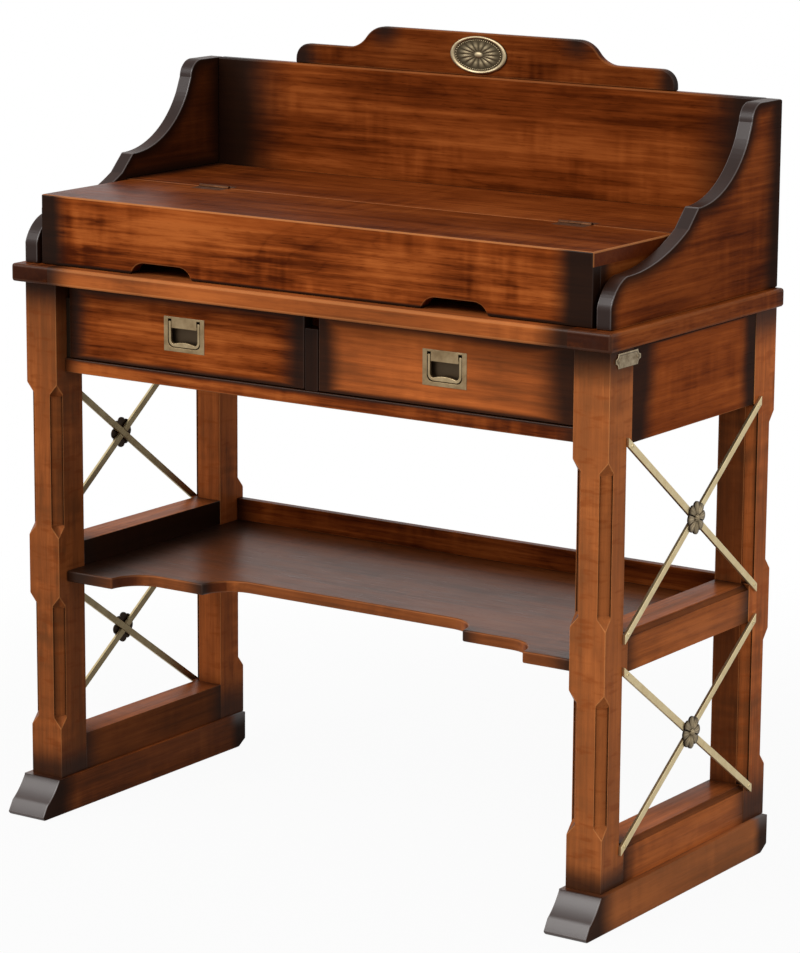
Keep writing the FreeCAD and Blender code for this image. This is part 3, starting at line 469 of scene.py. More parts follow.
    def grain_colour(self, skin: Surface, log: Socket, fibre: Socket, board: Board) -> Socket:
        """Lay rings, bands, streaks, fibres, pores, curl, blots and clouds over each other.

        Args:
            skin: The material in the making.
            log: Where in the log the board lies, grain first.
            fibre: The fine fibres.
            board: The board.

        Returns:
            The colour of the stained grain.
        """
        turns = skin.maths("MULTIPLY", skin.noise(log, self.figure), self.figure_rings * math.tau)
        crest = skin.maths("SUBTRACT", 1.0, skin.maths("ABSOLUTE", skin.maths("SINE", turns)))
        ripple = skin.maths("SUBTRACT", skin.noise(log, self.ripples), NOISE_MIDDLE)
        patches = skin.spread(skin.noise(log, self.patches), self.patch_range)
        blots = skin.spread(skin.noise(log, self.blots), self.blot_range)
        layers = (
            (skin.noise(log, self.streaks), self.streak_weight),
            (skin.maths("POWER", crest, self.ring_edge), self.ring_weight),
            (skin.noise(log, self.bands), self.band_weight),
            (fibre, self.fibre_weight),
            (skin.noise(log, self.clouds), self.cloud_weight),
            (skin.noise(log, self.mottle), self.mottle_weight),
            (skin.maths("MULTIPLY", ripple, patches), board.curl),
            (skin.maths("MULTIPLY", blots, patches), -board.blots),
            (skin.spread(skin.noise(log, self.pores), self.pore_range), self.pore_weight),
        )
        total = 0.0
        for layer, weight in layers:
            total = skin.maths("MULTIPLY_ADD", layer, weight, total)
        reach = self.level_reach / board.contrast
        level = skin.spread(total, (self.level_middle - reach, self.level_middle + reach))
        toned = [scaled(colour, board.tone) for colour in (self.shade, self.body, self.warm, self.streak)]
        return skin.ramp(level, list(zip(self.stops, toned)))

    def face_colour(self, skin: Surface, log: Socket, colour: Socket, board: Board) -> Socket:
        """Fade and fleck a board, darken its end grain, and paint shade on the faces that look up.

        Args:
            skin: The material in the making.
            log: Where in the log the board lies, grain first.
            colour: The colour of the stained grain.
            board: The board.

        Returns:
            The new colour.
        """
        colour = skin.blend(board.fade, colour, scaled(self.faded, board.tone))
        if board.flecks:
            share = skin.spread(skin.noise(log, self.flecks), self.fleck_range, 0.0, board.flecks)
            colour = skin.blend(share, colour, scaled(self.body, board.tone))
        end_on = skin.maths("ABSOLUTE", skin.normal[board.grain.value[0]])
        share = skin.spread(end_on, self.end_range, 0.0, self.end_share)
        colour = skin.blend(share, colour, scaled(self.end_grain, board.tone))
        # Painted shade: faces that look up are darkened, as the tops get less light than the fronts.
        upward = skin.spread(skin.normal[2], self.top_range)
        return skin.blend(upward, colour, (board.top_tone,) * 3, "MULTIPLY")

    def shades(self, skin: Surface, board: Board) -> list[Socket]:
        """Find how much painted shade a board's inner, front and slanted faces get.

        Args:
            skin: The material in the making.
            board: The board.

        Returns:
            The share of painted shade for each kind of face that has any.
        """
        found = []
        if board.inner_dark:
            found.append(skin.spread(skin.inward(), self.inner_range, board.inner_dark, 0.0))
        if board.front_dark:
            found.append(skin.spread(skin.normal[1], self.front_range, board.front_dark, 0.0))
        if board.mitre_dark:
            rising = skin.spread(skin.normal[2], self.mitre_rise, 0.0, board.mitre_dark)
            falling = skin.spread(skin.normal[2], self.mitre_fall, 1.0, 0.0)
            found.append(skin.maths("MULTIPLY", rising, falling))
        return found

    def burn_mask(self, skin: Surface, log: Socket, board: Board) -> Socket | None:
        """Find where a board is rubbed dark; the same mask also paints shade at some ends and in the shelf's
        coves.

        Args:
            skin: The material in the making.
            log: Where in the log the board lies, grain first.
            board: The board.

        Returns:
            A value from 0 to 1, or None for a board with no dark ends.
        """
        low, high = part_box(board.node)
        drift = skin.maths("SUBTRACT", skin.noise(log, self.drift), NOISE_MIDDLE)
        dark = []
        for axis, side, reach in board.burn.ends():
            near, far = (skin.parts[axis], low[axis]) if side < 0 else (high[axis], skin.parts[axis])
            inset = skin.maths("SUBTRACT", near, far)
            ragged = skin.maths("MULTIPLY_ADD", drift, reach * self.drift_share, inset)
            dark.append(skin.spread(ragged, (reach * board.core, reach), 1.0, 0.0))
        for x, z in board.burnt_spots:
            flat = skin.get("ShaderNodeCombineXYZ", {0: skin.parts[0], 2: skin.parts[2]})
            away = skin.add("ShaderNodeVectorMath", {0: flat, 1: (x, 0.0, z)}, operation="DISTANCE")
            dark.append(skin.spread(away.outputs["Value"], (0.0, self.spot_reach), 1.0, 0.0))
        if dark and board.burnt_face is not None:
            facing = skin.maths("ABSOLUTE", skin.normal[board.burnt_face])
            dark = [skin.maths("MULTIPLY", skin.largest(dark), skin.spread(facing, self.broad_range))]
        # The rim marks a gallery side's rubbed scroll edge, or the shelf's front corners, where it paints
        # shade.
        if board.outline is not None:
            dark.append(skin.attribute("rim"))
        return skin.largest(dark) if dark else None


@dataclass(frozen=True)
class PlainWood:
    """The bare timber inside the drawer case."""

    slot: str = "inner_wood"
    dark: Triple = (0.150, 0.070, 0.026)
    light: Triple = (0.330, 0.180, 0.078)
    soil: Triple = (0.020, 0.011, 0.006)
    streaks: Waves = Waves(2.0, 60.0, 4.0, 0.6)
    stops: Pair = (0.3, 0.7)
    soil_range: Pair = (0.005, 0.035)
    roughness: float = 0.62
    gloss: float = 0.06
    edge: float = 0.0006

    def material(self, name: str, grain: Grain) -> Material:
        """Make the bare wood of one board, darker towards its front end.

        Args:
            name: The board's node.
            grain: The way of its grain.

        Returns:
            Its material.
        """
        skin = Surface(f"{name}_timber")
        streaks = skin.noise(skin.along(grain), self.streaks)
        colour = skin.ramp(streaks, list(zip(self.stops, (self.dark, self.light))))
        inset = skin.maths("SUBTRACT", skin.parts[1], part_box(name)[0].y)
        colour = skin.blend(skin.spread(inset, self.soil_range, 1.0, 0.0), colour, self.soil)
        return skin.close({
            "Base Color": colour,
            "Roughness": self.roughness,
            "Specular IOR Level": self.gloss,
        })


@dataclass(frozen=True)
class BrassFinish:
    """Cast or drawn brass with tarnish in its hollows; some kinds get painted shade on faces that look into
    the desk, or a painted raised border with a bright rim.
    """

    name: str
    bright: Triple
    tarnish: Triple
    hollow: Triple
    roughness: float
    slot: str = "aged_brass"
    metal: float = 1.0
    # How dark the faces that look into the desk are made: painted shade.
    inner_dull: float = 0.0
    # A raised border painted on: a bright rim, with a dark line painted as shade inside it.
    bordered: bool = False
    clouds: Waves = Waves(55.0, 55.0, 4.0, 0.6)
    stops: Pair = (0.30, 0.68)
    hollow_reach: float = 0.006
    hollow_range: Pair = (0.25, 0.85)
    groove: float = 0.42
    groove_range: Pair = (0.72, 0.95)
    groove_dull: Pair = (0.25, 0.85)
    border_range: Pair = (0.55, 0.80)
    inner_range: Pair = (-0.35, 0.30)
    rough_range: Pair = (0.3, 0.7)
    rough_rise: float = 0.14

    def material(self, sunk: tuple[int, Pair] | None = None) -> Material:
        """Make the brass.

        Args:
            sunk: The axis of a relief, with how far out its hollows and its heights lie.

        Returns:
            Its material.
        """
        skin = Surface(self.name)
        clouds = skin.noise(skin.place, self.clouds)
        colour = skin.ramp(clouds, list(zip(self.stops, (self.tarnish, self.bright))))
        shut = skin.spread(skin.openness(self.hollow_reach), self.hollow_range, 1.0, 0.0)
        if sunk is not None:
            level = skin.maths("ABSOLUTE", skin.parts[sunk[0]])
            shut = skin.maths("MAXIMUM", shut, skin.spread(level, sunk[1], 1.0, 0.0))
        # Painted raised border: a dark line stands for the shade at its inner step, and the hollows'
        # darkening is left off near the edge, which paints the rim bright.
        if self.bordered:
            rim = skin.attribute("rim")
            away = skin.maths("ABSOLUTE", skin.maths("SUBTRACT", rim, self.groove))
            groove = skin.spread(skin.maths("SUBTRACT", 1.0, away), self.groove_range, *self.groove_dull)
            shut = skin.maths("MAXIMUM", shut, groove)
            shut = skin.maths("MULTIPLY", shut, skin.spread(rim, self.border_range, 1.0, 0.0))
        # Painted shade on faces that look into the desk.
        if self.inner_dull:
            dull = skin.spread(skin.inward(), self.inner_range, self.inner_dull, 0.0)
            shut = skin.maths("MAXIMUM", shut, dull)
        roughest = self.roughness + self.rough_rise
        return skin.close({
            "Base Color": skin.blend(shut, colour, self.hollow),
            "Roughness": skin.spread(clouds, self.rough_range, roughest, self.roughness),
            "Metallic": self.metal,
        })


STAIN = WoodFinish()
TIMBER = PlainWood()
# The bars' faces that look into the desk get painted shade.
PALE_BRASS = BrassFinish(
    "pale_brass", bright=(0.86, 0.71, 0.41), tarnish=(0.70, 0.55, 0.30), hollow=(0.13, 0.095, 0.045),
    roughness=0.36, slot="pale_brass", metal=0.85, inner_dull=0.82)
PULL_BRASS = BrassFinish(
    "pull_brass", bright=(0.40, 0.29, 0.16), tarnish=(0.23, 0.155, 0.080), hollow=(0.070, 0.048, 0.029),
    roughness=0.38)
BAIL_BRASS = BrassFinish(
    "bail_brass", bright=(0.50, 0.38, 0.22), tarnish=(0.30, 0.215, 0.115), hollow=(0.050, 0.035, 0.020),
    roughness=0.36)
BADGE_BRASS = BrassFinish(
    "badge_brass", bright=(0.52, 0.42, 0.26), tarnish=(0.34, 0.26, 0.15), hollow=(0.070, 0.052, 0.030),
    roughness=0.38)
# The rosettes' faces that look into the desk get painted shade.
DARK_BRASS = BrassFinish(
    "dark_brass", bright=(0.44, 0.35, 0.22), tarnish=(0.22, 0.17, 0.10), hollow=(0.026, 0.016, 0.010),
    roughness=0.33, inner_dull=0.9)
HINGE_BRASS = BrassFinish(
    "hinge_brass", bright=(0.120, 0.050, 0.022), tarnish=(0.075, 0.028, 0.012), hollow=(0.020, 0.009, 0.005),
    roughness=0.50)
# The plate's raised border is painted, not modelled.
PLATE_BRASS = BrassFinish(
    "plate_brass", bright=(0.54, 0.43, 0.28), tarnish=(0.26, 0.19, 0.11), hollow=(0.070, 0.050, 0.030),
    roughness=0.38, bordered=True, clouds=Waves(120.0, 120.0, 4.0, 0.6))


@contextmanager
def editing(mesh: Mesh) -> Iterator[bmesh.types.BMesh]:
    """Open a mesh for work, and write the result back to it.

    Args:
        mesh: The mesh.

    Yields:
        The open mesh.
    """
    work = bmesh.new()
    work.from_mesh(mesh)
    yield work
    work.to_mesh(mesh)
    work.free()


def gap_to(spot: Vector, start: Vector, end: Vector) -> float:
    """Measure from a point to the stretch between two others.

    Args:
        spot: The point.
        start: Where the stretch begins.
        end: Where it ends.

    Returns:
        The distance.
    """
    run = end - start
    share = max(0.0, min(1.0, (spot - start).dot(run) / max(run.length_squared, TINY)))
    return (spot - start - run * share).length


class Workpiece:
    """A piece in the making: an object at the origin, with a mesh of its own."""

    WEIGHT = "bevel_weight_edge"
    MERGE = 1e-6
    FLAT = math.radians(0.5)
    BENT = 0.5
    SHARP = math.radians(32)
    TURNED = math.radians(35)
    ROOM = 2.1
    SHORTEST = 0.2

    def __init__(self, name: str, mesh: Mesh) -> None:
        """Put a mesh in the scene under a name."""
        self.piece = bpy.data.objects.new(name, mesh)
        bpy.context.scene.collection.objects.link(self.piece)

    @classmethod
    def of_node(cls, node: str, kind: str) -> "Workpiece":
        """Copy a node's mesh, with its triangles joined up to flat faces.

        Args:
            node: The node.
            kind: What the piece is, for its name.

        Returns:
            The new piece.
        """
        mesh = frame["nodes"][node].data.copy()
        mesh.materials.clear()
        with editing(mesh) as work:
            bmesh.ops.remove_doubles(work, verts=work.verts, dist=cls.MERGE)
            bmesh.ops.dissolve_limit(work, angle_limit=cls.FLAT, verts=work.verts, edges=work.edges)
        return cls(f"{node}_{kind}", mesh)

    @property
    def mesh(self) -> Mesh:
        """Give the piece's mesh."""
        return self.piece.data

    @classmethod
    def crowded(cls, edge: Edge, room: float) -> bool:
        """Tell whether an edge is too short for its rounding or ends at a step that is.

        Args:
            edge: The edge.
            room: How long an edge that turns off from it has to be.

        Returns:
            True for a very short edge, and where an edge that turns off from it is shorter than the room.
        """
        if edge.calc_length() < room * cls.SHORTEST:
            return True
        run = edge.verts[1].co - edge.verts[0].co
        for other in (other for corner in edge.verts for other in corner.link_edges):
            turn = run.angle(other.verts[1].co - other.verts[0].co)
            if other.calc_length() < room and min(turn, math.pi - turn) > cls.TURNED:
                return True
        return False

    @staticmethod
    def flanked(edge: Edge, sharp: set[Edge], room: float) -> bool:
        """Tell whether another sharp edge runs along an edge, too close for both to be rounded.

        Args:
            edge: The edge.
            sharp: Every sharp edge of the mesh.
            room: How far off the other has to lie.

        Returns:
            True where a nearly parallel edge lies closer beside it.
        """
        start = edge.verts[0].co
        length = edge.calc_length()
        run = (edge.verts[1].co - start) / length
        for other in sharp - {edge}:
            ends = [vertex.co - start for vertex in other.verts]
            low, high = sorted(end.dot(run) for end in ends)
            beside = min(high, length) - max(low, 0.0) >= min(length, other.calc_length()) / 2
            if beside and all((end - run * end.dot(run)).length < room for end in ends):
                return True
        return False

    def weigh_edges(self, meets: Sequence[tuple[int, int, float]], share: float, room: float,
                    outward: bool) -> None:
        """Choose the edges to round: the sharp ones that don't lie against another board.

        Args:
            meets: The axis, side and middle of each end where the board meets another.
            share: The weight of every edge but the one at the top of the back, which has 1.
            room: How long the edges that turn off from a rounded one have to be.
            outward: Whether inner corners, and edges that run close together, stay as they are.
        """
        back, top = (max(vertex.co[axis] for vertex in self.mesh.vertices) - SAME for axis in (1, 2))
        with editing(self.mesh) as work:
            weight = work.edges.layers.float.new(self.WEIGHT)
            sharp = {edge for edge in work.edges
                     if len(edge.link_faces) == 2 and edge.calc_face_angle() > self.SHARP}
            for edge in work.edges:
                first, second = (vertex.co for vertex in edge.verts)
                joined = any(abs(first[axis] - second[axis]) < SAME and first[axis] * side > mid * side
                             for axis, side, mid in meets)
                crown = all(spot.y > back and spot.z > top for spot in (first, second))
                free = edge in sharp and not joined and not self.crowded(edge, room)
                if outward:
                    free = free and edge.is_convex and not self.flanked(edge, sharp, room)
                edge[weight] = float(free) * (1.0 if crown else share)
                edge.smooth = free or edge not in sharp

    def soften(self, width: float, segments: int = 2, meets: Sequence[tuple[int, int, float]] = (),
               crown: float = 0.0, grid: tuple[Plane, float] | None = None, outward: bool = False) -> None:
        """Round the sharp edges and mark the rounded strips with the attribute arris.

        Args:
            width: How wide the rounding is.
            segments: How many strips it has.
            meets: The axis, side and middle of each end where it meets another board.
            crown: How wide the rounding is at the top of the back, if it is wider there.
            grid: The plane and the size of the cells that the piece is divided into, if any.
            outward: Whether inner corners, and edges that run close together, stay as they are.
        """
        widest = max(width, crown)
        self.weigh_edges(meets, width / widest, width * self.ROOM, outward)
        for _ in range(2):
            self.mesh.materials.append(None)
        bevel = self.piece.modifiers.new("edges", "BEVEL")
        bevel.width = widest
        bevel.segments = segments
        bevel.limit_method = "WEIGHT"
        bevel.material = 1
        for polygon in self.mesh.polygons:
            polygon.use_smooth = True
        self.settle()
        if grid is not None:
            self.cut_grid(*grid)
        self.piece.modifiers.new("normals", "WEIGHTED_NORMAL").keep_sharp = True
        self.settle()
        mesh = self.mesh
        mesh.attributes.remove(mesh.attributes[self.WEIGHT])
        worn = mesh.attributes.new("arris", "FLOAT", "FACE")
        worn.data.foreach_set("value", [float(polygon.material_index) for polygon in mesh.polygons])
        mesh.polygons.foreach_set("material_index", [0] * len(mesh.polygons))
        mesh.materials.clear()

    def settle(self) -> None:
        """Turn the modifiers into plain mesh."""
        graph = bpy.context.evaluated_depsgraph_get()
        made = bpy.data.meshes.new_from_object(self.piece.evaluated_get(graph), depsgraph=graph)
        self.piece.modifiers.clear()
        self.piece.data = made

    def cut_grid(self, plane: Plane, pitch: float) -> None:
        """Divide a plate into cells, so that values on its points can follow its outline.

        Args:
            plane: The plane it lies in.
            pitch: The size of a cell.
        """
        with editing(self.mesh) as work:
            for axis in plane.value[:2]:
                spots = [vertex.co[axis] for vertex in work.verts]
                low, high = min(spots), max(spots)
                count = int((high - low) / pitch)
                normal = Vector((0.0, 0.0, 0.0))
                normal[axis] = 1.0
                for step in range(1, count):
                    point = normal * (low + (high - low) * step / count)
                    geometry = work.verts[:] + work.edges[:] + work.faces[:]
                    bmesh.ops.bisect_plane(work, geom=geometry, plane_co=point, plane_no=normal, dist=SAME)

    def outline(self, plane: Plane) -> list[Stretch]:
        """Read the outline of a plate from the sharp edges of one face of it.

        Args:
            plane: The plane it lies in.

        Returns:
            The outline's edges, each as two flat points.
        """
        first, second, facing = plane.value
        found = []
        with editing(self.mesh) as work:
            top = max(vertex.co[facing] for vertex in work.verts)
            base = min(vertex.co[second] for vertex in work.verts)
            for edge in work.edges:
                ends = [vertex.co for vertex in edge.verts]
                on_face = all(abs(end[facing] - top) < SAME for end in ends)
                at_foot = all(abs(end[second] - base) < SAME for end in ends)
                bent = len(edge.link_faces) == 2 and edge.calc_face_angle() > self.BENT
                if on_face and bent and not at_foot:
                    found.append(tuple(Vector((end[first], end[second])) for end in ends))
        return found

    @staticmethod
    def corners(outline: list[Stretch], bend: float = math.radians(20)) -> list[Stretch]:
        """Find the corners of an outline on its front half.

        Args:
            outline: The outline's edges.
            bend: The smallest turn that counts as a corner.

        Returns:
            The corners, each as an edge of no length.
        """
        middle = sum((start.y + end.y) / 2 for start, end in outline) / len(outline)
        found = []
        for index, (start, end) in enumerate(outline):
            for other_start, other_end in outline[index + 1:]:
                shared = [spot for spot in (start, end)
                          if min((spot - other_start).length, (spot - other_end).length) < SAME]
                turn = (end - start).angle(other_end - other_start)
                if shared and min(turn, math.pi - turn) > bend and shared[0].y < middle:
                    found.append((shared[0], shared[0]))
        return found

    def mark_rim(self, outline: list[Stretch], plane: Plane, reach: float) -> None:
        """Write to the attribute rim how near each point lies to a plate's outline.

        Args:
            outline: The outline's edges.
            plane: The plane it lies in.
            reach: Where the value falls to 0.
        """
        first, second, _ = plane.value
        values = []
        for vertex in self.mesh.vertices:
            spot = Vector((vertex.co[first], vertex.co[second]))
            near = max(0.0, 1.0 - min(gap_to(spot, start, end) for start, end in outline) / reach)
            values.append(near * near * (3.0 - 2.0 * near))
        self.mesh.attributes.new("rim", "FLOAT", "POINT").data.foreach_set("value", values)


def relief(name: str, turns: Sequence[Matrix], rings: int, outline: Callable[[float], Pair],
           height: Callable[[float, float], float], spokes: int = 128,
           crease: float = math.radians(50)) -> Workpiece:
    """Make round ornaments of one form, each closed by a flat back, as one piece.

    Args:
        name: The piece's name.
        turns: What carries each from the origin, where it faces +Z, to its place.
        rings: How many rings of points each has.
        outline: Gives the edge's x and y for an angle.
        height: Gives the height for a share of the way out and an angle.
        spokes: How many points each ring has.
        crease: The smallest bend that stays sharp.

    Returns:
        The piece.
    """
    mesh = bpy.data.meshes.new(name)
    angles = [math.tau * step / spokes for step in range(spokes)]
    rim = [outline(angle) for angle in angles]
    shares = [ring / rings for ring in range(1, rings + 1)]
    levels = [[(x * share, y * share, height(share, angle)) for (x, y), angle in zip(rim, angles)]
              for share in shares]
    levels.append([(x, y, 0.0) for x, y in rim])
    with editing(mesh) as work:
        for turn in turns:
            middle = work.verts.new(turn @ Vector((0.0, 0.0, height(0.0, 0.0))))
            loops = [[work.verts.new(turn @ Vector(spot)) for spot in level] for level in levels]
            for step in range(spokes):
                after = (step + 1) % spokes
                work.faces.new((middle, loops[0][step], loops[0][after]))
                for inner, outer in zip(loops, loops[1:]):
                    work.faces.new((inner[step], outer[step], outer[after], inner[after]))
            work.faces.new(list(reversed(loops[-1])))
    for polygon in mesh.polygons:
        polygon.use_smooth = True
    mesh.set_sharp_from_angle(angle=crease)
    return Workpiece(name, mesh)


class Repeater:
    """A Geometry Nodes tree that sets copies of one shape on points."""

    NAME = ""
    INPUTS: dict[str, str] = {}

    def __init__(self) -> None:
        """Build the tree: the copies, made real and given their brass."""
        self.tree = bpy.data.node_groups.new(self.NAME, "GeometryNodeTree")
        face = self.tree.interface
        self.keys = {}
        for name, kind in ({"Geometry": "Geometry", "Brass": "Material"} | self.INPUTS).items():
            socket = face.new_socket(name, in_out="INPUT", socket_type=f"NodeSocket{kind}")
            self.keys[name] = socket.identifier
        face.new_socket("Geometry", in_out="OUTPUT", socket_type="NodeSocketGeometry")
        graph = Graph(self.tree)
        given = graph.add("NodeGroupInput").outputs
        copies = graph.get("GeometryNodeInstanceOnPoints", self.copies(graph, given))
        real = graph.get("GeometryNodeRealizeInstances", {0: copies})
        dressed = graph.get("GeometryNodeSetMaterial", {"Geometry": real, "Material": given["Brass"]})
        graph.add("NodeGroupOutput", {"Geometry": dressed})

    def copies(self, graph: Graph, given: Sockets) -> dict[str, Socket]:
        """Make the points, the shape and the way it is turned, from the inputs given."""
        raise NotImplementedError

    def run(self, name: str, mesh: Mesh, **inputs: Any) -> Workpiece:
        """Make a piece.

        Args:
            name: Its name.
            mesh: What the tree starts from.
            inputs: The tree's inputs, with underscores for spaces.

        Returns:
            The piece.
        """
        work = Workpiece(name, mesh)
        modifier = work.piece.modifiers.new("copies", "NODES")
        modifier.node_group = self.tree
        for key, value in inputs.items():
            modifier[self.keys[key.replace("_", " ")]] = value
        work.settle()
        return work


class Screws(Repeater):
    """Slotted screw heads on the points of a mesh."""

    NAME = "slotted_screws"
    INPUTS = {"Head Radius": "Float", "Head Height": "Float", "Slot Width": "Float"}
    FACING = "facing"
    SLOT_REACH = 3.0
    SEED = 7

    def copies(self, graph: Graph, given: Sockets) -> dict[str, Socket]:
        """Make a domed head with a slot, turned to face out.

        Args:
            graph: The tree's graph.
            given: The tree's inputs.

        Returns:
            What goes on the points.
        """
        radius, rise, width = (given[name] for name in self.INPUTS)
        ball = graph.get("GeometryNodeMeshUVSphere", {"Segments": 20, "Rings": 10, "Radius": radius})
        shape = graph.get("ShaderNodeCombineXYZ", {0: 1.0, 1: 1.0, 2: graph.maths("DIVIDE", rise, radius)})
        head = graph.get("GeometryNodeTransform", {"Geometry": ball, "Scale": shape})
        smooth = graph.get("GeometryNodeSetShadeSmooth", {"Geometry": head})
        length = graph.maths("MULTIPLY", radius, self.SLOT_REACH)
        size = graph.get("ShaderNodeCombineXYZ", {0: length, 1: width, 2: rise})
        slot = graph.get("GeometryNodeMeshCube", {"Size": size})
        raised = graph.get("GeometryNodeTransform", {
            "Geometry": slot, "Translation": graph.get("ShaderNodeCombineXYZ", {2: rise})})
        solids = {"Mesh 1": smooth, "Mesh 2": raised}
        cut = graph.get("GeometryNodeMeshBoolean", solids, operation="DIFFERENCE")
        facing = graph.get("GeometryNodeInputNamedAttribute", {"Name": self.FACING},
                           data_type="FLOAT_VECTOR")
        turn = graph.get("FunctionNodeAlignRotationToVector", {"Vector": facing}, axis="Z")
        spin = graph.add("FunctionNodeRandomValue", {"Min": 0.0, "Max": math.tau, "Seed": self.SEED})
        about = graph.get("ShaderNodeCombineXYZ", {2: next(item for item in spin.outputs if item.enabled)})
        twist = graph.get("FunctionNodeEulerToRotation", {0: about})
        both = graph.get("FunctionNodeRotateRotation", {0: turn, 1: twist}, rotation_space="LOCAL")
        return {"Points": given["Geometry"], "Instance": cut, "Rotation": both}

    def drive(self, name: str, spots: Sequence[ScrewSpot], brass: Material, sizes: Triple) -> Workpiece:
        """Set screws.

        Args:
            name: The new piece's name.
            spots: Each screw's place and the way it faces.
            brass: What the screws are made of.
            sizes: The radius and the height of a head, and the width of its slot.

        Returns:
            The screws, as one piece.
        """
        mesh = bpy.data.meshes.new(name)
        mesh.from_pydata([place for place, _ in spots], [], [])
        facing = mesh.attributes.new(self.FACING, "FLOAT_VECTOR", "POINT")
        facing.data.foreach_set("vector", [part for _, way in spots for part in way])
        return self.run(name, mesh, Brass=brass, **dict(zip(self.INPUTS, sizes)))


class Beads(Repeater):
    """A row of beads round an upright oval."""

    NAME = "oval_beads"
    INPUTS = {"Half Length": "Float", "Half Height": "Float", "Bead Radius": "Float", "Beads": "Int",
              "Place": "Vector"}

    def copies(self, graph: Graph, given: Sockets) -> dict[str, Socket]:
        """Make the oval and a bead.

        Args:
            graph: The tree's graph.
            given: The tree's inputs.

        Returns:
            What goes on the points.
        """
        circle = graph.get("GeometryNodeCurvePrimitiveCircle", {"Resolution": 128, "Radius": 1.0})
        size = graph.get("ShaderNodeCombineXYZ", {0: given["Half Length"], 1: given["Half Height"], 2: 1.0})
        oval = graph.get("GeometryNodeTransform", {"Geometry": circle, "Scale": size})
        even = graph.get("GeometryNodeResampleCurve", {"Curve": oval, "Count": given["Beads"]})
        upright = graph.get("GeometryNodeTransform", {
            "Geometry": even, "Rotation": (math.pi / 2, 0.0, 0.0), "Translation": given["Place"]})
        ball = {"Segments": 10, "Rings": 6, "Radius": given["Bead Radius"]}
        bead = graph.get("GeometryNodeMeshUVSphere", ball)
        smooth = graph.get("GeometryNodeSetShadeSmooth", {"Geometry": bead})
        return {"Points": upright, "Instance": smooth}


@dataclass
class SubAssembly:
    """Pieces that are made together and ride on one body."""

    body: str = "frame"
    pieces: list[bpy.types.Object] = field(default_factory=list)

    def join(self, work: Workpiece, slot: str, *nodes: str) -> None:
        """Make a finished piece ride on the body and stand for its nodes.

        Args:
            work: The piece.
            slot: The record's material slot; not used.
            nodes: The nodes that it stands for.
        """
        piece = work.piece
        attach(piece, self.body)
        if nodes:
            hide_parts(*nodes)
        self.pieces.append(piece)

    def lay_board(self, node: str, grain: Grain, burn: Burn = Burn(), **looks: Any) -> None:
        """Soften and stain a board.

        Args:
            node: The board's node.
            grain: The way of its grain.
            burn: Where it is rubbed dark.
            looks: What else sets it apart, by the names that Board has for it.
        """
        board = Board(node, grain, burn, **looks)
        work = Workpiece.of_node(node, "board")
        plane = board.outline
        outline = work.outline(plane) if plane else []
        low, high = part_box(board.node)
        meets = [(axis, side, (low[axis] + high[axis]) / 2) for axis, side in board.meets]
        grid = (plane, STAIN.rim_cell) if plane else None
        work.soften(board.edge, STAIN.edge_strips, meets, board.crown, grid, board.outward)
        # On the shelf the corners of the front edge are darkened: painted shade in its coves.
        if plane and board.corners:
            work.mark_rim(work.corners(outline), plane, STAIN.corner_reach)
        elif plane:
            work.mark_rim(outline, plane, STAIN.rim_reach)
        work.mesh.materials.append(STAIN.material(board))
        self.join(work, STAIN.slot, node)

    def lay_timber(self, node: str, grain: Grain) -> None:
        """Soften an inner board and leave it bare.

        Args:
            node: The board's node.
            grain: The way of its grain.
        """
        work = Workpiece.of_node(node, "board")
        work.soften(TIMBER.edge)
        work.mesh.materials.append(TIMBER.material(node, grain))
        self.join(work, TIMBER.slot, node)

    def cast(self, node: str, brass: BrassFinish, metal: Material, edge: float,
             outward: bool = False) -> None:
        """Soften a brass node.

        Args:
            node: The node.
            brass: Its finish.
            metal: The finish's material.
            edge: How wide its edges are rounded.
            outward: Whether its inner corners stay as they are.
        """
        work = Workpiece.of_node(node, "cast")
        work.soften(edge, outward=outward)
        work.mesh.materials.append(metal)
        self.join(work, brass.slot, node)


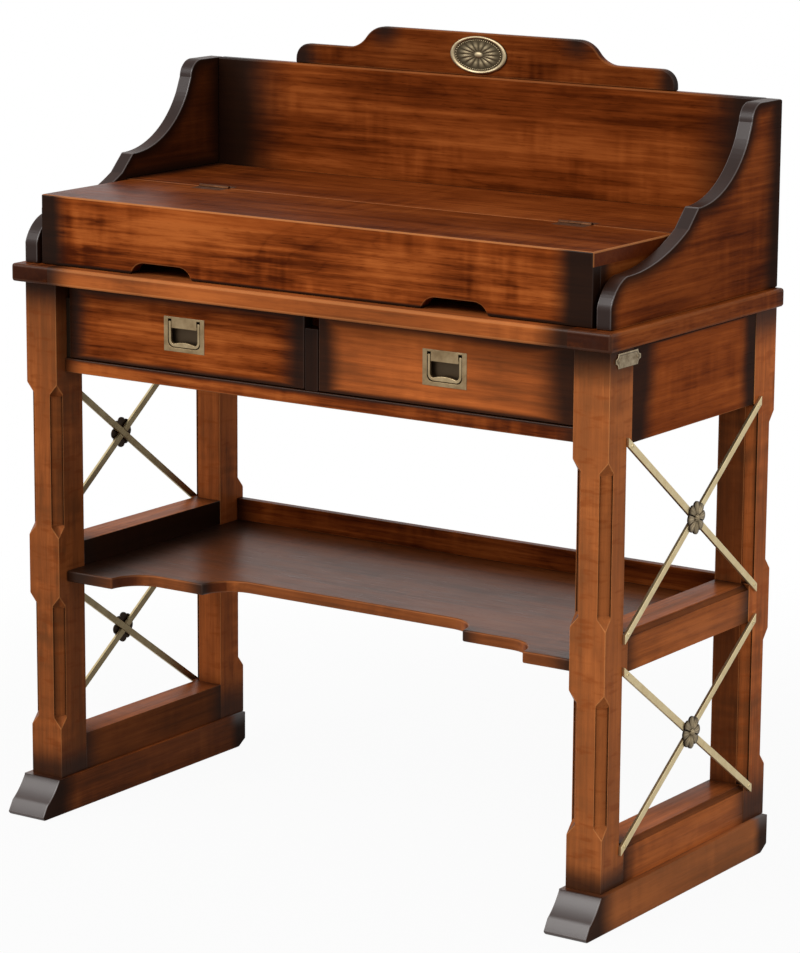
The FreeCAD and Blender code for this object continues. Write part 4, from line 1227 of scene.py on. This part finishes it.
@dataclass
class Stand(SubAssembly):
    """Feet, posts, side rails and the shelf."""

    foot_fade: dict[str, float] = field(default_factory=lambda: {"left": 0.25, "right": 0.60})

    def build(self) -> None:
        """Make every board of the stand."""
        for name in SIDES:
            # Painted shade on the feet's faces that look into the desk.
            self.lay_board(f"{name}_foot", Grain.DEEP, Burn(front=0.088, back=0.045), edge=0.0020, tone=1.2,
                           polish=0.62, core=0.40, fade=self.foot_fade[name], wear=0.20, inner_dark=0.55,
                           edge_polish=True)
            self.lay_posts(name)
            for level, dark in (("lower", 0.62), ("mid", 0.98)):
                # Painted shade on the rails' faces that look into the desk and on their slanted chamfers.
                self.lay_board(f"{name}_{level}_rail", Grain.DEEP, Burn(front=0.070, back=0.070),
                               edge=0.0008, tone=1.42, gloss=0.02, fade=0.36, inner_dark=dark,
                               mitre_dark=0.55, hollows=True)
        # Painted shade on the shelf's top, on its front edge and in the coves of its front edge.
        self.lay_board("shelf", Grain.ACROSS, Burn(left=0.130, right=0.06, back=0.02), edge=0.0025,
                       tone=1.10, outline=Plane.LEVEL, gloss=0.105, fade=0.35, top_tone=0.46, wear=0.12,
                       front_dark=0.30, corners=True)
        self.lay_board("shelf_back_rail", Grain.ACROSS, Burn(left=0.07, right=0.05), tone=0.8, gloss=0.05)

    def lay_posts(self, name: str) -> None:
        """Make the front post and the rear post of a side.

        Args:
            name: The side's name.
        """
        left = name == "left"
        front = {"burn": Burn(head=0.058, foot=0.050), "tone": 1.05 if left else 1.36,
                 "fade": 0.40 if left else 0.50}
        # Painted shade on the rear posts' front faces, under the case.
        rear = {"burn": Burn(head=0.058, foot=0.080), "tone": 1.80, "fade": 0.30,
                "front_dark": 0.25 if left else 0.50}
        for end, looks in (("front", front), ("rear", rear)):
            # Painted shade on the posts' faces that look into the desk.
            self.lay_board(f"{name}_{end}_post", Grain.UPRIGHT, edge=0.0009, contrast=0.85, curl=0.36,
                           blots=0.10, core=0.18, cover=0.86, wear=0.50, inner_dark=0.30, flecks=0.40,
                           hollows=True, outward=True, **looks)


@dataclass
class DrawerCase(SubAssembly):
    """The case between the posts, with its runners."""

    def build(self) -> None:
        """Make the boards of the case and the bare timber inside it."""
        for name in SIDES:
            # The dark at the head of each side is painted shade under the desk top; the dark at its front
            # and back is the burnished finish.
            self.lay_board(f"{name}_case_side", Grain.DEEP, Burn(front=0.090, back=0.072, head=0.006),
                           edge=0.0012, tone=1.25, gloss=0.015, polish=0.02, contrast=0.6, core=0.55)
            self.lay_timber(f"{name}_drawer_runner", Grain.DEEP)
        self.lay_board("case_back", Grain.ACROSS, Burn(left=0.03, right=0.03), edge=0.0012)
        # The dark strip at the rail's head is painted shade under the drawers; its dark ends are the
        # burnished finish.
        self.lay_board("drawer_rail", Grain.ACROSS, Burn(left=0.065, right=0.065, head=0.006), gloss=0.08)
        # The top rail sits back under the desk top; its low tone paints the shade it lies in.
        self.lay_board("top_rail", Grain.ACROSS, edge=0.001, tone=0.3)
        self.lay_board("drawer_divider", Grain.UPRIGHT, Burn(front=0.02), tone=0.6)
        self.lay_timber("centre_runner", Grain.DEEP)
        self.lay_timber("drawer_kickers", Grain.DEEP)


@dataclass
class Drawer(SubAssembly):
    """One drawer with its flush pull."""

    side: str = "left"
    plate_edge: float = 0.0005
    bail_edge: float = 0.0009
    cup_depths: Pair = (0.0065, 0.0020)

    @classmethod
    def cup_brass(cls) -> Material:
        """Make the brass of the cup plates, which is dark in the cups."""
        face = abs(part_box("left_pull_plate")[0].y)
        return PULL_BRASS.material((1, tuple(face - depth for depth in cls.cup_depths)))

    def build(self, plate_brass: Material, bail_brass: Material) -> None:
        """Make the drawer's boards and its cup plate and bail.

        Args:
            plate_brass: What the cup plate is made of.
            bail_brass: What the bail is made of.
        """
        left = self.side == "left"
        # The dark at the head is partly the burnished finish, partly painted shadow under the desk top's
        # overhang.
        burn = Burn(left=0.044, right=0.05184 if left else 0.072, foot=0.009, head=0.020)
        self.lay_board(f"{self.side}_drawer_front", Grain.ACROSS, burn, edge=0.0016,
                       tone=1.05 if left else 1.70, curl=0.10, contrast=1.1 if left else 0.85,
                       fade=0.0 if left else 0.22, outward=True)
        for hand in SIDES:
            self.lay_timber(f"{self.side}_drawer_{hand}_side", Grain.DEEP)
        self.lay_timber(f"{self.side}_drawer_back", Grain.ACROSS)
        self.lay_timber(f"{self.side}_drawer_bottom", Grain.ACROSS)
        self.cast(f"{self.side}_pull_plate", PULL_BRASS, plate_brass, self.plate_edge, True)
        bail = SubAssembly(f"{self.side}_bail")
        bail.cast(f"{self.side}_bail", BAIL_BRASS, bail_brass, self.bail_edge)
        self.pieces += bail.pieces


@dataclass
class DeskTop(SubAssembly):
    """The writing surface with its breadboard ends."""

    edge: float = 0.0042

    def build(self) -> None:
        """Make the three boards of the top."""
        self.lay_board("desk_top", Grain.ACROSS, Burn(left=0.065, right=0.065), edge=self.edge, tone=1.30,
                       wear=0.35, contrast=0.8, fade=0.25, meets=((0, -1), (0, 1)))
        for name, side in SIDES.items():
            self.lay_board(f"{name}_breadboard_end", Grain.DEEP, Burn(front=0.030, back=0.030),
                           edge=self.edge, tone=0.85, gloss=0.02, cover=0.62, wear=0.15,
                           meets=((0, -side),))


@dataclass
class Gallery(SubAssembly):
    """Scrolled sides, back board and crest, with the plaque on it."""

    level_slack: float = 1e-4
    plaque_rings: int = 30
    plaque_depths: Pair = (0.0016, 0.0004)
    rim_share: float = 0.86
    rim_height: float = 0.0030
    field_height: float = 0.0019
    field_drop: float = 0.0003
    ray_count: int = 16
    ray_height: float = 0.0007
    ray_middle: float = 0.45
    ray_reach: float = 0.32
    boss_share: float = 0.17
    boss_height: float = 0.0012
    bead_count: int = 54
    bead_radius: float = 0.0010
    bead_oval: Pair = (0.80, 0.78)

    def build(self, beads: Beads) -> None:
        """Make the boards and the plaque.

        Args:
            beads: The tree that makes the plaque's beads.
        """
        for name in SIDES:
            # Painted shade on the gallery sides' faces that look into the desk.
            self.lay_board(f"{name}_gallery_side", Grain.DEEP, Burn(back=0.060), edge=0.0020, tone=0.95,
                           outline=Plane.SIDE, gloss=0.010, contrast=0.7, polish=0.26, inner_dark=0.75,
                           edge_polish=True, crown=0.0060)
        # The wide dark at the left end is partly the burnished finish, partly painted shade in the corner by
        # the gallery side.
        self.lay_board("gallery_back", Grain.ACROSS, Burn(left=0.150, right=0.115, foot=0.012), edge=0.0025,
                       tone=0.82, gloss=0.015, core=0.28, contrast=0.85, cover=0.98)
        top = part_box("crest")[1].z
        points = [vertex.co for vertex in frame["nodes"]["crest"].data.vertices]
        shoulder = max(point.x for point in points if point.z > top - self.level_slack)
        self.lay_board("crest", Grain.ACROSS, Burn(left=0.050, right=0.040), edge=0.0020, tone=0.62,
                       gloss=0.02, burnt_spots=((-shoulder, top), (shoulder, top)))
        self.make_plaque(beads)

    def make_plaque(self, beads: Beads) -> None:
        """Make the oval plaque: a rounded rim, a row of beads and a sunburst round a boss.

        Args:
            beads: The tree that makes its beads.
        """
        low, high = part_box("crest_plaque")
        deep, proud = self.plaque_depths
        metal = BADGE_BRASS.material((1, (high.y - deep, low.y + proud)))
        half_length, half_height = (high.x - low.x) / 2, (high.z - low.z) / 2

        def outline(angle: float) -> Pair:
            """Give the oval's edge at an angle."""
            return (half_length * math.cos(angle), half_height * math.sin(angle))

        middle = (low + high) / 2
        turn = Matrix.Translation((middle.x, high.y, middle.z)) @ Matrix.Rotation(math.pi / 2, 4, "X")
        work = relief("crest_plaque_relief", [turn], self.plaque_rings, outline, self.plaque_height)
        work.mesh.materials.append(metal)
        self.join(work, BADGE_BRASS.slot, "crest_plaque")
        oval = [half * share for half, share in zip((half_length, half_height), self.bead_oval)]
        row = beads.run("crest_plaque_beads", bpy.data.meshes.new("crest_plaque_beads"), Brass=metal,
                        Half_Length=oval[0], Half_Height=oval[1], Bead_Radius=self.bead_radius,
                        Beads=self.bead_count, Place=(middle.x, high.y - self.field_height, middle.z))
        self.join(row, BADGE_BRASS.slot)

    def plaque_height(self, share: float, angle: float) -> float:
        """Give the plaque's relief.

        Args:
            share: The share of the way out to its edge.
            angle: The angle round its middle.

        Returns:
            The height over the crest.
        """
        if share > self.rim_share:
            across = (2.0 * share - 1.0 - self.rim_share) / (1.0 - self.rim_share)
            return self.field_height + (self.rim_height - self.field_height) * (1.0 - across * across)
        ray = abs(math.sin(angle * self.ray_count / 2)) * self.ray_height
        fade = max(0.0, 1.0 - abs(share - self.ray_middle) / self.ray_reach)
        boss = max(0.0, 1.0 - (share / self.boss_share) ** 2) * self.boss_height
        return self.field_height - self.field_drop + ray * fade + boss


@dataclass
class Hood(SubAssembly):
    """The folding hood."""

    body: str = "hood"

    def build(self) -> None:
        """Make the lid, the front and the cheeks."""
        shared = {"polish": 0.04, "core": 0.40, "cover": 0.98, "log": "hood"}
        # The lid's top is darkened: painted shade.
        self.lay_board("hood_lid", Grain.ACROSS, Burn(left=0.052, right=0.064), edge=0.0022, tone=1.10,
                       gloss=0.031, contrast=0.75, top_tone=0.56, wear=0.60, burnt_face=1, meets=((2, -1),),
                       **shared)
        self.lay_board("hood_front", Grain.ACROSS, Burn(left=0.052, right=0.064, foot=0.006), edge=0.0014,
                       tone=1.02, contrast=1.20, blots=0.08, meets=((2, 1),), **shared)
        for name in SIDES:
            self.lay_board(f"hood_{name}_cheek", Grain.DEEP, Burn(front=0.035), edge=0.0014, tone=0.55,
                           gloss=0.015, meets=((2, 1),))


@dataclass
class Hinges(SubAssembly):
    """The flush hinges of the hood and the fixed cover behind them."""

    leaf_edge: float = 0.0003
    pin_edge: float = 0.0002
    leaf_length: float = 0.050
    screw_sizes: Triple = (0.0026, 0.0004, 0.0007)
    screw_inset: float = 0.017
    screw_stagger: float = 0.004
    screws_in_leaf: int = 3

    def build(self, metal: Material, screws: Screws) -> None:
        """Make the cover, the leaves, the pins and their screws.

        Args:
            metal: What the hinges are made of.
            screws: The tree that makes the screws.
        """
        # The cover's top is darkened: painted shade.
        self.lay_board("rear_cover", Grain.ACROSS, Burn(left=0.04, right=0.04, back=0.008), edge=0.0012,
                       gloss=0.10, contrast=0.75, top_tone=0.72, wear=0.6)
        self.cast("hinge_fixed_leaves", HINGE_BRASS, metal, self.leaf_edge)
        self.cast("hinge_pins", HINGE_BRASS, metal, self.pin_edge)
        lid = SubAssembly("hood")
        lid.cast("hinge_lid_leaves", HINGE_BRASS, metal, self.leaf_edge)
        for owner, way, name in ((self, 1, "fixed"), (lid, -1, "lid")):
            work = screws.drive(f"hinge_{name}_screws", self.screw_spots(way), metal, self.screw_sizes)
            owner.join(work, HINGE_BRASS.slot)
        self.pieces += lid.pieces

    def screw_spots(self, way: int) -> list[ScrewSpot]:
        """Find where the screws of the leaves on one side of the pins go.

        Args:
            way: The side, 1 for the back.

        Returns:
            Each screw's place and the way it faces.
        """
        joint = next(item for item in frame["joints"] if item["name"] == "hood_hinge")
        low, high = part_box("hinge_lid_leaves")
        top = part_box("hood_lid")[1].z
        spots = []
        for end in (low.x, high.x):
            inward = 1 if end < 0 else -1
            for step in range(self.screws_in_leaf):
                x = end + inward * (step + 0.5) / self.screws_in_leaf * self.leaf_length
                y = joint["pos_m"][1] + way * (self.screw_inset - self.screw_stagger * (step % 2))
                spots.append((Vector((x, y, top)), UP))
        return spots


@dataclass
class SideBraces(SubAssembly):
    """Crossed bars on both sides of the desk, with their rosettes and screws."""

    bar_edge: float = 0.0007
    bar_rise: float = 0.0059
    screw_inset: float = 0.0080
    screw_sizes: Triple = (0.0027, 0.0012, 0.0007)
    rosette_rings: int = 22
    petals: int = 8
    scallop: float = 0.16
    scallop_power: float = 0.55
    boss_share: float = 0.20
    boss_height: float = 0.0065
    disc_height: float = 0.0024
    disc_share: float = 0.6
    petal_height: float = 0.0020
    petal_power: float = 0.6
    petal_top: float = 1.7
    swell: Pair = (0.1, 0.85)
    swell_power: float = 0.7
    rib_height: float = 0.0005
    ribs_in_petal: int = 3

    def build(self, pale: Material, screws: Screws) -> None:
        """Make the bars, rosettes and screws of both sides.

        Args:
            pale: What the bars are made of.
            screws: The tree that makes the screws.
        """
        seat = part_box("right_rosettes")[0].x
        hollow = seat + self.disc_height * self.disc_share
        dark = DARK_BRASS.material((0, (hollow, seat + self.petal_height * self.petal_top)))
        for name, side in SIDES.items():
            spots = []
            for level in ("upper", "lower"):
                node = f"{name}_{level}_braces"
                self.cast(node, PALE_BRASS, pale, self.bar_edge)
                spots += self.bar_ends(node, side)
            work = screws.drive(f"{name}_brace_screws", spots, pale, self.screw_sizes)
            self.join(work, PALE_BRASS.slot)
            self.make_rosettes(name, side, dark)

    def bar_ends(self, node: str, side: int) -> list[ScrewSpot]:
        """Find where the screws of a pair of bars go.

        Args:
            node: The bars' node.
            side: The side of the desk.

        Returns:
            Each screw's place and the way it faces.
        """
        low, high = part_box(node)
        face = high.x if side > 0 else low.x
        slope = (high.z - low.z - 2 * self.bar_rise) / (high.y - low.y)
        rise = self.bar_rise + slope * self.screw_inset
        return [(Vector((face, y, z)), Vector((float(side), 0.0, 0.0)))
                for y in (low.y + self.screw_inset, high.y - self.screw_inset)
                for z in (low.z + rise, high.z - rise)]

    def make_rosettes(self, name: str, side: int, metal: Material) -> None:
        """Make the two rosettes of one side, with ribbed petals round a boss.

        Args:
            name: The side's name.
            side: The side of the desk.
            metal: What they are made of.
        """
        node = f"{name}_rosettes"
        low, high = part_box(node)
        radius = (high.y - low.y) / 2
        seat = low.x if side > 0 else high.x

        def outline(angle: float) -> Pair:
            """Give the scalloped edge at an angle."""
            reach = radius * (1.0 - self.scallop * (1.0 - self.lobe(angle) ** self.scallop_power))
            return (reach * math.cos(angle), reach * math.sin(angle))

        turn = Matrix.Rotation(math.pi / 2 * side, 4, "Y")
        turns = [Matrix.Translation((seat, (low.y + high.y) / 2, z)) @ turn
                 for z in (low.z + radius, high.z - radius)]
        work = relief(f"{node}_relief", turns, self.rosette_rings, outline, self.rosette_height)
        work.mesh.materials.append(metal)
        self.join(work, DARK_BRASS.slot, node)

    def lobe(self, angle: float) -> float:
        """Give how near an angle lies to the middle of a petal, from 0 to 1."""
        return abs(math.cos(angle * self.petals / 2))

    def rosette_height(self, share: float, angle: float) -> float:
        """Give a rosette's relief.

        Args:
            share: The share of the way out to its edge.
            angle: The angle round its middle.

        Returns:
            The height over the bars.
        """
        if share < self.boss_share:
            dome = 1.0 - (share / self.boss_share) ** 2
            return self.disc_height + (self.boss_height - self.disc_height) * math.sqrt(dome)
        run = (share - self.boss_share) / (1.0 - self.boss_share)
        ribs = math.cos(angle * self.petals * self.ribs_in_petal) * math.sin(math.pi * run)
        start, slope = self.swell
        swell = math.sin(math.pi * min(1.0, run * slope + start)) ** self.swell_power
        petal = self.petal_height * swell * self.lobe(angle) ** self.petal_power
        return self.disc_height * self.disc_share + petal + self.rib_height * ribs


@dataclass
class LegPlate(SubAssembly):
    """The small bare plate on the right front post."""

    node: str = "right_leg_plate"
    edge: float = 0.0006
    cell: float = 0.0010
    border: float = 0.0045
    screw_inset: float = 0.008
    screw_sizes: Triple = (0.0024, 0.0008, 0.0008)

    def build(self, metal: Material, screws: Screws) -> None:
        """Make the plate and its two screws.

        Args:
            metal: What it is made of.
            screws: The tree that makes the screws.
        """
        work = Workpiece.of_node(self.node, "cast")
        outline = work.outline(Plane.SIDE)
        work.soften(self.edge, grid=(Plane.SIDE, self.cell))
        work.mark_rim(outline, Plane.SIDE, self.border)
        work.mesh.materials.append(metal)
        self.join(work, PLATE_BRASS.slot, self.node)
        low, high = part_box(self.node)
        middle = (low.z + high.z) / 2
        spots = [(Vector((high.x, y, middle)), Vector((1.0, 0.0, 0.0)))
                 for y in (low.y + self.screw_inset, high.y - self.screw_inset)]
        self.join(screws.drive("right_leg_plate_screws", spots, metal, self.screw_sizes), PLATE_BRASS.slot)


@dataclass(frozen=True)
class Softbox:
    """A square studio lamp."""

    name: str
    place: Triple
    size: float
    power: float
    aim: Triple = (0.0, 0.0, 0.6)

    def hang(self) -> None:
        """Put the lamp in the scene."""
        data = bpy.data.lights.new(self.name, "AREA")
        data.size = self.size
        data.energy = self.power
        lamp = bpy.data.objects.new(self.name, data)
        bpy.context.scene.collection.objects.link(lamp)
        lamp.location = self.place
        lamp.rotation_euler = (Vector(self.aim) - Vector(self.place)).to_track_quat("-Z", "Y").to_euler()


@dataclass
class Studio:
    """Camera, lamps, floor and a white surround."""

    camera_place: Triple = (2.7742, -4.05285, 1.5633)
    yaw: float = 34.14
    pitch: float = 12.16
    roll: float = 0.371
    focal_pixels: float = 3694.0
    frame_pixels: float = 953.0
    view_reach: float = 50.0
    sky_range: Pair = (0.1, 0.9)
    sky_levels: Pair = (0.46, 0.16)
    floor_size: float = 8.0
    floor_drop: float = 0.0005
    floor_colour: Triple = (0.50, 0.50, 0.50)
    floor_glow: float = 0.95
    floor_mirror: float = 0.5
    shadow_reach: Pair = (0.7, 1.8)
    lamps: tuple[Softbox, ...] = (
        Softbox("front_left", (-1.0, -3.1, 3.4), 2.2, 84.0),
        Softbox("left", (-3.6, -2.8, 3.3), 1.8, 38.0),
        Softbox("right", (3.0, -1.0, 2.6), 2.0, 22.0),
    )

    def build(self) -> None:
        """Set up the whole studio."""
        bpy.context.scene.view_settings.view_transform = "Standard"
        self.set_camera()
        self.light_world()
        self.lay_floor()
        for lamp in self.lamps:
            lamp.hang()

    def set_camera(self) -> None:
        """Place the camera at the photograph's viewing angle."""
        yaw, pitch, roll = (math.radians(angle) for angle in (self.yaw, self.pitch, self.roll))
        ahead = Vector((-math.sin(yaw) * math.cos(pitch), math.cos(yaw) * math.cos(pitch), -math.sin(pitch)))
        level = Vector((math.cos(yaw), math.sin(yaw), 0.0))
        above = level.cross(ahead)
        right = level * math.cos(roll) + above * math.sin(roll)
        upward = above * math.cos(roll) - level * math.sin(roll)
        data = bpy.data.cameras.new("photograph")
        data.lens = self.focal_pixels * data.sensor_width / self.frame_pixels
        data.clip_end = self.view_reach
        camera = bpy.data.objects.new("photograph", data)
        bpy.context.scene.collection.objects.link(camera)
        turn = Matrix((right, upward, -ahead)).transposed().to_4x4()
        camera.matrix_world = Matrix.Translation(self.camera_place) @ turn
        bpy.context.scene.camera = camera

    def light_world(self) -> None:
        """Surround the desk with white, which lights it at a plain level but looks full to other rays."""
        world = bpy.data.worlds.new("surround")
        world.use_nodes = True
        bpy.context.scene.world = world
        world.node_tree.nodes.clear()
        graph = Graph(world.node_tree)
        way = graph.add("ShaderNodeTexCoord").outputs["Normal"]
        height = graph.add("ShaderNodeSeparateXYZ", {0: way}).outputs[2]
        path = graph.add("ShaderNodeLightPath").outputs
        seen = [path[f"Is {kind} Ray"] for kind in ("Camera", "Glossy", "Transmission")]
        strength = graph.largest([graph.spread(height, self.sky_range, *self.sky_levels), *seen])
        white = graph.get("ShaderNodeBackground", {"Color": (1.0, 1.0, 1.0, 1.0), "Strength": strength})
        graph.add("ShaderNodeOutputWorld", {"Surface": white})

    def lay_floor(self) -> None:
        """Lay a white floor that keeps a soft shadow."""
        mesh = bpy.data.meshes.new("studio_floor")
        with editing(mesh) as work:
            bmesh.ops.create_grid(work, x_segments=1, y_segments=1, size=self.floor_size)
        floor = Workpiece("studio_floor", mesh).piece
        floor.location.z = -self.floor_drop
        material = bpy.data.materials.new("studio_white")
        material.use_nodes = True
        material.node_tree.nodes.clear()
        graph = Graph(material.node_tree)
        matt = graph.get("ShaderNodeBsdfDiffuse", {"Color": rgba(self.floor_colour)})
        glow = graph.get("ShaderNodeEmission", {"Strength": 1.0})
        spot = graph.add("ShaderNodeTexCoord").outputs["Object"]
        away = graph.add("ShaderNodeVectorMath", {0: spot}, operation="LENGTH").outputs["Value"]
        plain = graph.spread(away, self.shadow_reach, self.floor_glow, 1.0)
        path = graph.add("ShaderNodeLightPath").outputs
        mirrored = graph.maths("MULTIPLY", path["Is Glossy Ray"], self.floor_mirror)
        share = graph.maths("MULTIPLY", graph.maths("MAXIMUM", path["Is Camera Ray"], mirrored), plain)
        both = graph.get("ShaderNodeMixShader", {0: share, 1: matt, 2: glow})
        graph.add("ShaderNodeOutputMaterial", {"Surface": both})
        mesh.materials.append(material)


def main() -> None:
    """Build the desk's sub-assemblies in order, then the studio."""
    logging.basicConfig(level=logging.INFO, format="%(name)s: %(message)s")
    cup, bail = Drawer.cup_brass(), BAIL_BRASS.material()
    hinge, pale, plate = (brass.material() for brass in (HINGE_BRASS, PALE_BRASS, PLATE_BRASS))
    screws = Screws()
    drawers = [(Drawer(body=f"{name}_drawer", side=name), (cup, bail)) for name in SIDES]
    desk = (
        (Stand(), ()),
        (DrawerCase(), ()),
        *drawers,
        (DeskTop(), ()),
        (Gallery(), (Beads(),)),
        (Hood(), ()),
        (Hinges(), (hinge, screws)),
        (SideBraces(), (pale, screws)),
        (LegPlate(), (plate, screws)),
    )
    for part, needs in desk:
        part.build(*needs)
        for piece in part.pieces:
            LOG.info("%s: %s, %d faces", type(part).__name__, piece.name, len(piece.data.polygons))
    Studio().build()


if __name__ == "__main__":
    main()
